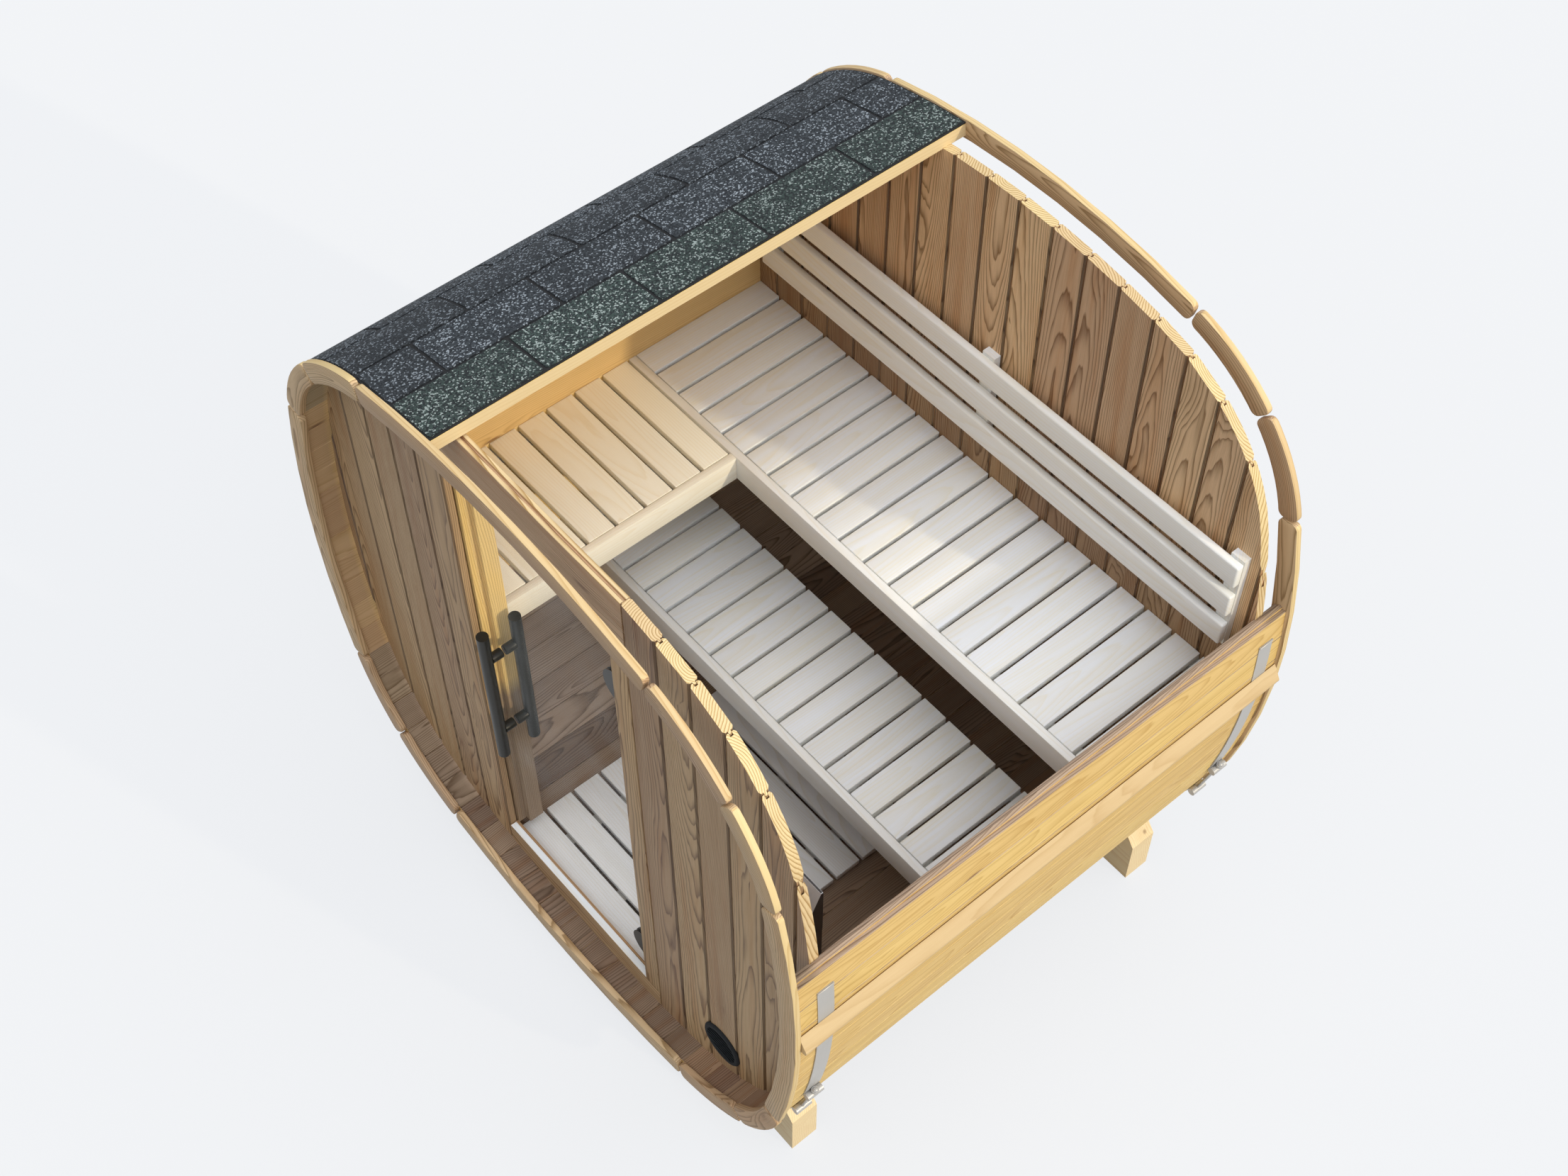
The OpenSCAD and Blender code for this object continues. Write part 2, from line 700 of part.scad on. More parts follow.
// Rods with a domed nut on each end
module tension_rods() color("lightgray") for (y = band_ys) for (side = [0, 1]) mirror([side, 0, 0]) {
  run = upper_roll() - lower_roll();
  tilt = atan2(run[0], run[1]);
  seat = roll_r + fit;
  rod(y, rod_r, seat + rod_r);
  translate([lower_roll()[0], y, axis_h + lower_roll()[1]]) rotate([0, tilt, 0]) {
    for (z = [-seat - 2 * rod_r, norm(run) + seat]) translate([0, 0, z]) cylinder(r = 2 * rod_r, h = 2 * rod_r);
    for (z = [-seat - 2 * rod_r, norm(run) + seat + 2 * rod_r]) translate([0, 0, z]) sphere(r = 1.6 * rod_r);
  }
}

// Three-sided strip that lies on the bands along the whole barrel
module batten() {
  along(front_y + ring_t, depth - 2 * ring_t) polygon([
    [batten_x, batten_up], [batten_x + batten_t, batten_up - batten_h / 2],
    [batten_x + batten_t * 0.8, batten_up - batten_h * 0.75], [batten_x, batten_up - batten_h]
  ]);
}

module right_batten() color("bisque") batten();
module left_batten() color("bisque") mirror([1, 0, 0]) batten();

// Cross beam with a seat for the barrel and chamfered ends
module cradle(y) {
  along(y, cradle_t) difference() {
    translate([0, -axis_h]) polygon([
      [-cradle_half, 0], [cradle_half, 0], [cradle_half, cradle_end],
      [cradle_half - cradle_run, cradle_end + cradle_rise],
      [-cradle_half + cradle_run, cradle_end + cradle_rise], [-cradle_half, cradle_end]
    ]);
    section(stave_inset - fit);
  }
}

module front_cradle() color("bisque") cradle(front_y + cradle_in);
module rear_cradle() color("bisque") cradle(back_y - cradle_in - cradle_t);

front_cradle();
rear_cradle();
left_staves();
bottom_staves();
right_staves();
roof_staves();
top_left_staves();
bottom_left_staves();
bottom_right_staves();
shingle_roof();
front_ring_sides();
front_ring_corners();
rear_ring_sides();
rear_ring_corners();
front_wall_left();
front_wall_right();
door_header();
door_jamb_left();
door_jamb_right();
door_sill();
door_glass();
door_handle();
door_hinge_leaves();
jamb_hinge_plates();
vent_cover();
back_wall();
upper_bench_slats();
upper_bench_rail();
side_bench_slats();
side_bench_rail();
lower_bench_slats();
lower_bench_rail();
bench_bearers();
backrest_slats();
backrest_posts();
floor_slats();
floor_bearers();
heater_body();
heater_deflector();
steel_bands();
tension_rods();
right_batten();
left_batten();
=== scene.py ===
"""Looks of a garden barrel sauna of rounded square section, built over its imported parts."""

import logging
import math
import random
from dataclasses import dataclass, replace
from enum import Enum
from typing import Callable, Optional, Sequence, Union

import bmesh
import bpy
from mathutils import Matrix, Vector


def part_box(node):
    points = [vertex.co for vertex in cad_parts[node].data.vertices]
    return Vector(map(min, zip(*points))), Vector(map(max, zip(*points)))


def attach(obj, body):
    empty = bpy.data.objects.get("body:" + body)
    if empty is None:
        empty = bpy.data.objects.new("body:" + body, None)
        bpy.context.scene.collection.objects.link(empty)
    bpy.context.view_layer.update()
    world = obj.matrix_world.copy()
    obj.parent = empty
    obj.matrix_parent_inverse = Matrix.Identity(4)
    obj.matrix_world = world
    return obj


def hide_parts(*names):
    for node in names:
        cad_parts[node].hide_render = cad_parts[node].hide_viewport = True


LOG = logging.getLogger("barrel_sauna")

Colour = tuple[float, float, float]
Place = tuple[float, float, float]
Span = tuple[float, float]
Socket = bpy.types.NodeSocket
Feed = Union[float, Sequence[float], Socket]
Vert = bmesh.types.BMVert
Edge = bmesh.types.BMEdge

# Distance from the middle over which the painted shade on the barrel's ends sets in
END_SHADE_BLEND: Span = (0.735, 0.765)
# Half of the height over which the painted shade on a lower part fades
FOOT_SHADE_BLEND = 0.04
# Tint of reddish streaks
RUST_TINT: Colour = (1.0, 0.78, 0.58)
# Turn in radians from which an edge of a board counts as sharp
SHARP_TURN = 1.0
# Turn in degrees up to which faces are shaded as one
SMOOTH_UP_TO = 38.0
# Share of a face's normal along an axis from which it faces that way
FACING = 0.7

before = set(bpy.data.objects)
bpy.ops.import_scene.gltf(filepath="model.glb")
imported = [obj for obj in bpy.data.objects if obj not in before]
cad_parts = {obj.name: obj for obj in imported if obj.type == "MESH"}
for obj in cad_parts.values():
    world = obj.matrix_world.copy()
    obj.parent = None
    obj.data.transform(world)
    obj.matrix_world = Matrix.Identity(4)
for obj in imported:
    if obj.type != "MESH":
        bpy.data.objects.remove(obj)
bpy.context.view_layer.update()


class Grain(Enum):
    """Where a wood finish takes the direction of its grain from."""

    BOARD = (0, 0, 0)
    ALONG_X = (0, 1, 2)
    ALONG_Z = (2, 0, 1)


class Shader:
    """A node material under construction."""

    def __init__(self, name: str) -> None:
        """Start a material with a bare principled shader.

        Args:
            name: Name of the material.
        """
        self.material = bpy.data.materials.new(name)
        self.material.use_nodes = True
        self.nodes = self.material.node_tree.nodes
        self.links = self.material.node_tree.links
        self.skin = self.nodes["Principled BSDF"]

    def feed(self, socket: Socket, value: Feed) -> None:
        """Link or set one input.

        Args:
            socket: Input to feed.
            value: Another node's output, or a plain value.
        """
        if isinstance(value, Socket):
            self.links.new(value, socket)
        elif socket.type == "RGBA" and len(value) == 3:
            socket.default_value = (*value, 1.0)
        else:
            socket.default_value = value

    def add(self, kind: str, inputs: Optional[dict] = None, **settings: object) -> bpy.types.Node:
        """Add a node.

        Args:
            kind: Type name of the node.
            inputs: Values or links by input name or number.
            settings: Properties of the node.

        Returns:
            The new node.
        """
        node = self.nodes.new(kind)
        for key, value in settings.items():
            setattr(node, key, value)
        for key, value in (inputs or {}).items():
            self.feed(node.inputs[key], value)
        return node

    def sum(self, operation: str, *values: Feed, clamp: bool = False) -> Socket:
        """Work out a number.

        Args:
            operation: Math operation.
            values: Its operands.
            clamp: Keep the result between 0 and 1.

        Returns:
            The result.
        """
        inputs = dict(enumerate(values))
        return self.add("ShaderNodeMath", inputs, operation=operation, use_clamp=clamp).outputs[0]

    def remap(self, value: Feed, low: float, high: float, first: float, second: float) -> Socket:
        """Map the span low to high onto the span first to second, held at its ends."""
        inputs = {"Value": value, "From Min": low, "From Max": high, "To Min": first, "To Max": second}
        return self.add("ShaderNodeMapRange", inputs).outputs[0]

    def mix(self, factor: Feed, first: Feed, second: Feed, blend: str = "MIX") -> Socket:
        """Blend two colours.

        Args:
            factor: Share of the second colour.
            first: First colour.
            second: Second colour.
            blend: Blend mode.

        Returns:
            The blended colour.
        """
        node = self.add("ShaderNodeMix", {0: factor, 6: first, 7: second}, data_type="RGBA", blend_type=blend)
        return node.outputs[2]

    def stretch(self, place: Feed, scale: Sequence[float]) -> Socket:
        """Scale a place along its three directions."""
        return self.add("ShaderNodeVectorMath", {0: place, 1: scale}, operation="MULTIPLY").outputs[0]

    def noise(self, place: Feed, scale: float, detail: float = 2.0, roughness: float = 0.5) -> Socket:
        """Add a noise pattern and give its value."""
        inputs = {"Vector": place, "Scale": scale, "Detail": detail, "Roughness": roughness}
        return self.add("ShaderNodeTexNoise", inputs).outputs["Fac"]

    def relief(self, height: Feed, strength: float, distance: float) -> None:
        """Raise the surface by a height pattern."""
        bump = self.add("ShaderNodeBump", {"Height": height, "Strength": strength, "Distance": distance})
        self.feed(self.skin.inputs["Normal"], bump.outputs[0])

    def here(self) -> Socket:
        """Give the place on the piece in metres."""
        return self.add("ShaderNodeTexCoord").outputs["Object"]

    def along(self, axis: int) -> Socket:
        """Give the place on the piece along one axis, in metres."""
        return self.add("ShaderNodeSeparateXYZ", {0: self.here()}).outputs[axis]

    def wobble(self, place: Feed, base: Feed, scale: Place, reach: float) -> Socket:
        """Move a place across the grain by a noise pattern.

        Args:
            place: Where the pattern is read.
            base: Place that is moved.
            scale: Stretch of the pattern along, across and through the board.
            reach: How far it moves the place.

        Returns:
            The moved place.
        """
        inputs = {"Vector": self.stretch(place, scale), "Scale": 1.0, "Detail": 1.0}
        pattern = self.add("ShaderNodeTexNoise", inputs).outputs["Color"]
        inputs = {0: pattern, 1: (0.0, reach, reach), 2: base}
        return self.add("ShaderNodeVectorMath", inputs, operation="MULTIPLY_ADD").outputs[0]


@dataclass(frozen=True)
class WoodFinish:
    """Planed softwood with growth rings, fibres, streaks and knots.

    Attributes:
        name: Name of the finish.
        pale: Colour of the early wood.
        deep: Colour of the late wood.
        knot: Colour of the knots.
        figure: How strongly the growth rings show.
        fibre: How strongly the fine fibres show.
        streak: How strongly the broad streaks show.
        knotty: Share of the knot cells that hold a knot.
        spread: Change of brightness from board to board.
        roughness: Middle of the surface roughness.
        relief: Strength of the grain relief.
        gloss: Specular level of the surface.
        year: Width of a growth ring.
        wander: How far the rings wander across the board.
        ends: Painted shade, a darker tint on the wood beyond the end walls.
        rust: How strongly reddish streaks show.
        foot_shade: Painted shade, a darker tint on the lower part.
        foot_shade_top: Height up to which that painted shade reaches.
    """

    name: str
    pale: Colour
    deep: Colour
    knot: Colour = (0.20, 0.09, 0.035)
    figure: float = 0.6
    fibre: float = 0.45
    streak: float = 0.5
    knotty: float = 0.3
    spread: float = 0.10
    roughness: float = 0.55
    relief: float = 0.25
    gloss: float = 0.35
    year: float = 0.0075
    wander: float = 0.05
    ends: Colour = (1.0, 1.0, 1.0)
    rust: float = 0.0
    # Painted shade: a darker tint below a given height
    foot_shade: Colour = (1.0, 1.0, 1.0)
    foot_shade_top: float = 0.0

    def material(self, grain: Grain = Grain.BOARD) -> bpy.types.Material:
        """Make the material.

        Args:
            grain: Source of the grain direction.

        Returns:
            The material.
        """
        shader = Shader(f"{self.name}_{grain.name.lower()}")
        place, tone = self.source(shader, grain)
        halo, spots = self.knots(shader, place)
        rings = self.rings(shader, place, halo)
        fibres = shader.noise(shader.stretch(place, (6.0, 420.0, 420.0)), 1.0, 3.0, 0.6)
        streaks = shader.noise(shader.stretch(place, (1.1, 30.0, 30.0)), 1.0, 3.0, 0.55)
        share = shader.sum("MULTIPLY_ADD", rings, self.figure, 0.14)
        for pattern, strength in ((fibres, self.fibre), (streaks, self.streak)):
            swing = shader.sum("SUBTRACT", pattern, 0.5)
            share = shader.sum("ADD", share, shader.sum("MULTIPLY", swing, strength))
        share = shader.sum("ADD", share, shader.sum("MULTIPLY", halo, 0.25), clamp=True)
        colour = shader.mix(share, self.pale, self.deep)
        colour = shader.mix(shader.sum("MULTIPLY", spots, 0.8), colour, self.knot)
        reddish = shader.remap(streaks, 0.50, 0.68, 0.0, self.rust)
        colour = shader.mix(reddish, colour, RUST_TINT, "MULTIPLY")
        inputs = {
            "Hue": shader.remap(tone, 0.0, 1.0, 0.494, 0.504),
            "Value": shader.remap(tone, 0.0, 1.0, 1.0 - self.spread, 1.0 + self.spread),
            "Color": self.tint(shader, colour),
        }
        colour = shader.add("ShaderNodeHueSaturation", inputs).outputs[0]
        shader.feed(shader.skin.inputs["Base Color"], colour)
        rough = shader.remap(fibres, 0.25, 0.75, self.roughness - 0.08, self.roughness + 0.1)
        shader.feed(shader.skin.inputs["Roughness"], rough)
        shader.skin.inputs["Specular IOR Level"].default_value = self.gloss
        shader.relief(shader.sum("ADD", fibres, shader.sum("MULTIPLY", rings, -0.4)), self.relief, 0.0008)
        return shader.material

    def source(self, shader: Shader, grain: Grain) -> tuple[Socket, Socket]:
        """Find the place in the board and the board's tone.

        Args:
            shader: Material under construction.
            grain: Source of the grain direction.

        Returns:
            Place along, across and through the board, and the tone from 0 to 1.
        """
        if grain is Grain.BOARD:
            place = shader.add("ShaderNodeAttribute", attribute_name="grain").outputs["Vector"]
            return place, shader.add("ShaderNodeAttribute", attribute_name="tone").outputs["Fac"]
        axes = shader.add("ShaderNodeSeparateXYZ", {0: shader.here()}).outputs
        inputs = {number: axes[axis] for number, axis in enumerate(grain.value)}
        place = shader.add("ShaderNodeCombineXYZ", inputs).outputs[0]
        return place, shader.noise(place, 1.3, 0.0)

    def knots(self, shader: Shader, place: Socket) -> tuple[Socket, Socket]:
        """Scatter knots along the board.

        Args:
            shader: Material under construction.
            place: Place along, across and through the board.

        Returns:
            How near a knot is, and where the knots themselves are.
        """
        inputs = {"Vector": shader.stretch(place, (2.6, 10.0, 10.0)), "Scale": 1.0}
        cells = shader.add("ShaderNodeTexVoronoi", inputs).outputs
        pick = shader.add("ShaderNodeSeparateColor", {0: cells["Color"]}).outputs[0]
        knotted = shader.sum("LESS_THAN", pick, self.knotty)
        halo = shader.sum("MULTIPLY", shader.remap(cells["Distance"], 0.02, 0.42, 1.0, 0.0), knotted)
        spots = shader.sum("MULTIPLY", shader.remap(cells["Distance"], 0.04, 0.10, 1.0, 0.0), knotted)
        return halo, spots

    def tint(self, shader: Shader, colour: Socket) -> Socket:
        """Paint shade onto the parts beyond the end walls and onto the lower part.

        Args:
            shader: Material under construction.
            colour: Colour without the tints.

        Returns:
            The tinted colour.
        """
        # Painted shade: darken the wood beyond the end walls
        if min(self.ends) < 1.0:
            away = shader.sum("ABSOLUTE", shader.along(1))
            colour = shader.mix(shader.remap(away, *END_SHADE_BLEND, 0.0, 1.0), colour, self.ends, "MULTIPLY")
        # Painted shade: darken the part below a given height
        if min(self.foot_shade) < 1.0:
            top = self.foot_shade_top
            low = shader.remap(shader.along(2), top - FOOT_SHADE_BLEND, top + FOOT_SHADE_BLEND, 1.0, 0.0)
            colour = shader.mix(low, colour, self.foot_shade, "MULTIPLY")
        return colour

    def rings(self, shader: Shader, place: Socket, halo: Socket) -> Socket:
        """Cut growth rings as a saw cuts them from a log.

        Args:
            shader: Material under construction.
            place: Place along, across and through the board, measured from the log's pith.
            halo: How near a knot is.

        Returns:
            Share of late wood, which darkens slowly through a year and stops sharply.
        """
        moved = shader.wobble(place, place, (1.3, 7.0, 7.0), self.wander)
        moved = shader.wobble(place, moved, (7.0, 60.0, 60.0), 0.0035)
        flat = shader.stretch(moved, (0.0, 1.0, 1.0))
        depth = shader.add("ShaderNodeVectorMath", {0: flat}, operation="LENGTH").outputs["Value"]
        depth = shader.sum("MULTIPLY_ADD", halo, 0.016, depth)
        year = shader.sum("FRACT", shader.sum("DIVIDE", depth, self.year))
        late = shader.sum("POWER", shader.remap(year, 0.30, 0.92, 0.0, 1.0), 2.2)
        return shader.sum("MULTIPLY", late, shader.remap(year, 0.92, 1.0, 1.0, 0.0))


@dataclass(frozen=True)
class ShingleFinish:
    """Bitumen felt strewn with stone granules.

    Attributes:
        name: Name of the finish.
        base: Colour of the dark granules.
        middle: Colour of the middling granules.
        pale: Colour of the pale granules.
    """

    name: str
    base: Colour = (0.010, 0.014, 0.019)
    middle: Colour = (0.031, 0.039, 0.047)
    pale: Colour = (0.265, 0.30, 0.335)

    def material(self) -> bpy.types.Material:
        """Make the material."""
        shader = Shader(self.name)
        tone = shader.add("ShaderNodeAttribute", attribute_name="tone").outputs["Fac"]
        grains = shader.add("ShaderNodeTexVoronoi", {"Vector": shader.here(), "Scale": 260.0})
        pick = shader.add("ShaderNodeSeparateColor", {0: grains.outputs["Color"]}).outputs
        patch = shader.noise(shader.here(), 14.0, 3.0)
        lift = shader.remap(patch, 0.3, 0.7, -0.06, 0.06)
        some = shader.remap(shader.sum("ADD", pick[0], lift), 0.45, 0.55, 0.0, 1.0)
        few = shader.remap(shader.sum("ADD", pick[1], lift), 0.82, 0.90, 0.0, 1.0)
        colour = shader.mix(some, self.base, self.middle)
        colour = shader.mix(few, colour, self.pale)
        bright = shader.remap(tone, 0.0, 1.0, 0.82, 1.18)
        colour = shader.add("ShaderNodeHueSaturation", {"Value": bright, "Color": colour}).outputs[0]
        shader.feed(shader.skin.inputs["Base Color"], colour)
        shader.feed(shader.skin.inputs["Roughness"], shader.remap(pick[2], 0.0, 1.0, 0.75, 0.95))
        shader.relief(grains.outputs["Distance"], 0.6, 0.0015)
        return shader.material


@dataclass(frozen=True)
class PaintFinish:
    """Painted or moulded surface with a fine texture and slight cloudiness.

    Attributes:
        name: Name of the finish.
        colour: Middle of its colour.
        roughness: Middle of the surface roughness.
        metallic: Whether it is bare metal.
        peel: Size of the fine texture in waves per metre.
        gloss: Specular level of the surface.
    """

    name: str
    colour: Colour
    roughness: float = 0.45
    metallic: float = 0.0
    peel: float = 900.0
    gloss: float = 0.5

    def material(self) -> bpy.types.Material:
        """Make the material."""
        shader = Shader(self.name)
        cloud = shader.noise(shader.here(), 9.0, 3.0)
        fine = shader.noise(shader.here(), self.peel, 1.0)
        darker = tuple(c * 0.78 for c in self.colour)
        lighter = tuple(min(1.0, c * 1.18 + 0.004) for c in self.colour)
        colour = shader.mix(shader.remap(cloud, 0.3, 0.7, 0.0, 1.0), darker, lighter)
        shader.feed(shader.skin.inputs["Base Color"], colour)
        rough = shader.remap(cloud, 0.3, 0.7, self.roughness - 0.06, self.roughness + 0.06)
        shader.feed(shader.skin.inputs["Roughness"], rough)
        shader.skin.inputs["Metallic"].default_value = self.metallic
        shader.skin.inputs["Specular IOR Level"].default_value = self.gloss
        shader.relief(fine, 0.12, 0.0004)
        return shader.material


@dataclass(frozen=True)
class BrushedFinish:
    """Brushed galvanised steel.

    Attributes:
        name: Name of the finish.
        pale: Lightest colour.
        dull: Darkest colour.
        lines: How the brush lines are stretched along X, Y and Z.
    """

    name: str
    pale: Colour = (0.56, 0.55, 0.535)
    dull: Colour = (0.46, 0.45, 0.435)
    lines: Place = (6.0, 420.0, 6.0)

    def material(self) -> bpy.types.Material:
        """Make the material."""
        shader = Shader(self.name)
        brush = shader.noise(shader.stretch(shader.here(), self.lines), 1.0, 2.0)
        cloud = shader.noise(shader.here(), 16.0, 3.0)
        share = shader.sum("ADD", shader.sum("MULTIPLY", brush, 0.6), shader.sum("MULTIPLY", cloud, 0.4))
        shader.feed(shader.skin.inputs["Base Color"], shader.mix(share, self.dull, self.pale))
        shader.feed(shader.skin.inputs["Roughness"], shader.remap(brush, 0.3, 0.7, 0.34, 0.5))
        shader.skin.inputs["Metallic"].default_value = 0.45
        shader.relief(brush, 0.08, 0.0004)
        return shader.material


@dataclass(frozen=True)
class GlassFinish:
    """Clear safety glass with a faint green cast and a little dust.

    Attributes:
        name: Name of the finish.
        tint: Colour of the cast.
        haze: Share of light that the pane keeps back.
    """

    name: str
    tint: Colour = (0.62, 0.74, 0.72)
    haze: float = 0.04

    def material(self) -> bpy.types.Material:
        """Make the material."""
        shader = Shader(self.name)
        dust = shader.noise(shader.here(), 5.0, 4.0)
        shader.feed(shader.skin.inputs["Base Color"], shader.mix(dust, self.tint, (0.86, 0.9, 0.9)))
        shader.feed(shader.skin.inputs["Roughness"], shader.remap(dust, 0.3, 0.7, 0.02, 0.06))
        veil = shader.remap(dust, 0.3, 0.7, self.haze - 0.03, self.haze + 0.03)
        shader.feed(shader.skin.inputs["Alpha"], veil)
        return shader.material


@dataclass(frozen=True)
class Outline:
    """Rounded square of the barrel: four flat side arcs joined by four corner arcs.

    Attributes:
        half: Half of the trim ring's width and height.
        side_r: Radius of the side arcs.
        corner_r: Radius of the corner arcs.
        axis_h: Height of the barrel's axis.
    """

    half: float = 1.030
    side_r: float = 2.300
    corner_r: float = 0.572
    axis_h: float = 1.088

    @property
    def side_c(self) -> float:
        """Distance of a side arc's centre behind the axis."""
        return self.side_r - self.half

    @property
    def corner_c(self) -> float:
        """Distance of a corner arc's centre from the axis, along X and along Z."""
        span = self.side_r - self.corner_r
        return (math.sqrt(2.0 * span * span - self.side_c ** 2) - self.side_c) / 2.0

    @property
    def tangent(self) -> float:
        """Turn in degrees at which a side arc meets a corner arc."""
        return math.degrees(math.atan2(self.corner_c, self.corner_c + self.side_c))

    def arc(self, turn: float) -> tuple[Vector, float]:
        """Find the arc that holds a turn.

        Args:
            turn: Direction of the outward normal in degrees, from +X towards +Z.

        Returns:
            The arc's centre and radius.
        """
        quarter = 90.0 * round(turn / 90.0)
        if abs(turn - quarter) <= self.tangent:
            way = math.radians(quarter)
            back = self.side_c
            return Vector((-back * math.cos(way), 0.0, self.axis_h - back * math.sin(way))), self.side_r
        way = math.radians(90.0 * math.floor(turn / 90.0) + 45.0)
        reach = self.corner_c * math.sqrt(2.0)
        return Vector((reach * math.cos(way), 0.0, self.axis_h + reach * math.sin(way))), self.corner_r

    def spot(self, turn: float, inset: float) -> Vector:
        """Give the point of the outline, moved in by inset, at a turn in degrees."""
        centre, radius = self.arc(turn)
        way = math.radians(turn)
        return centre + (radius - inset) * Vector((math.cos(way), 0.0, math.sin(way)))

    def run_to(self, turn: float, inset: float) -> float:
        """Measure along the outline from the right middle to a turn.

        Args:
            turn: Direction of the outward normal in degrees.
            inset: How far the outline is moved in.

        Returns:
            The length, negative for a negative turn.
        """
        side = (self.side_r - inset) * math.radians(self.tangent)
        corner = (self.corner_r - inset) * math.radians(90.0 - 2.0 * self.tangent)
        count, part = divmod(turn, 90.0)
        if part <= self.tangent:
            run = (self.side_r - inset) * math.radians(part)
        elif part <= 90.0 - self.tangent:
            run = side + (self.corner_r - inset) * math.radians(part - self.tangent)
        else:
            run = 2.0 * side + corner - (self.side_r - inset) * math.radians(90.0 - part)
        return count * (2.0 * side + corner) + run

    def turn_at(self, run: float, inset: float) -> float:
        """Find the turn in degrees that lies a length along the outline.

        Args:
            run: Length from the right middle, along the outline.
            inset: How far the outline is moved in.

        Returns:
            The turn.
        """
        side = (self.side_r - inset) * math.radians(self.tangent)
        corner = (self.corner_r - inset) * math.radians(90.0 - 2.0 * self.tangent)
        count, rest = divmod(run, 2.0 * side + corner)
        if rest <= side:
            part = math.degrees(rest / (self.side_r - inset))
        elif rest <= side + corner:
            part = self.tangent + math.degrees((rest - side) / (self.corner_r - inset))
        else:
            part = 90.0 - math.degrees((2.0 * side + corner - rest) / (self.side_r - inset))
        return 90.0 * count + part

    def reach(self, offset: float, inset: float) -> float:
        """Measure from the middle plane to the outline, at an offset from the other middle plane.

        Args:
            offset: Distance from the middle along X, or along Z.
            inset: How far the outline is moved in.

        Returns:
            The distance in the other direction.
        """
        away = abs(offset)
        side, corner = self.side_r - inset, self.corner_r - inset
        if away <= side * math.sin(math.radians(self.tangent)):
            return math.sqrt(side * side - away * away) - self.side_c
        if away <= self.corner_c + corner * math.cos(math.radians(self.tangent)):
            return self.corner_c + math.sqrt(corner * corner - (away - self.corner_c) ** 2)
        return math.sqrt(max(0.0, side * side - (away + self.side_c) ** 2))


def verts_in(geom: Sequence[object]) -> list[Vert]:
    """Pick the vertices out of an operator's result."""
    return [g for g in geom if isinstance(g, Vert)]


def edges_at(verts: Sequence[Vert]) -> list[Edge]:
    """List the edges that meet any of the vertices."""
    return list({e for v in verts for e in v.link_edges})


def faces_at(verts: Sequence[Vert]) -> list[bmesh.types.BMFace]:
    """List the faces that meet any of the vertices."""
    return list({f for v in verts for f in v.link_faces})


def extrude(bm: bmesh.types.BMesh, corners: Sequence[Sequence[float]], run: Sequence[float]) -> list[Vert]:
    """Stretch a flat shape into a solid.

    Args:
        bm: Mesh to add to.
        corners: Corners of the flat shape.
        run: Way from its one end to the other.

    Returns:
        The vertices of its far end.
    """
    face = bm.faces.new([bm.verts.new(corner) for corner in corners])
    verts = verts_in(bmesh.ops.extrude_face_region(bm, geom=[face])["geom"])
    bmesh.ops.translate(bm, vec=run, verts=verts)
    return verts


def block(bm: bmesh.types.BMesh, low: Vector, high: Vector) -> list[Vert]:
    """Add a box.

    Args:
        bm: Mesh to add to.
        low: Its lowest corner.
        high: Its highest corner.

    Returns:
        Its vertices.
    """
    verts = bmesh.ops.create_cube(bm, size=1.0)["verts"]
    bmesh.ops.scale(bm, vec=high - low, verts=verts)
    bmesh.ops.translate(bm, vec=(low + high) / 2.0, verts=verts)
    return verts


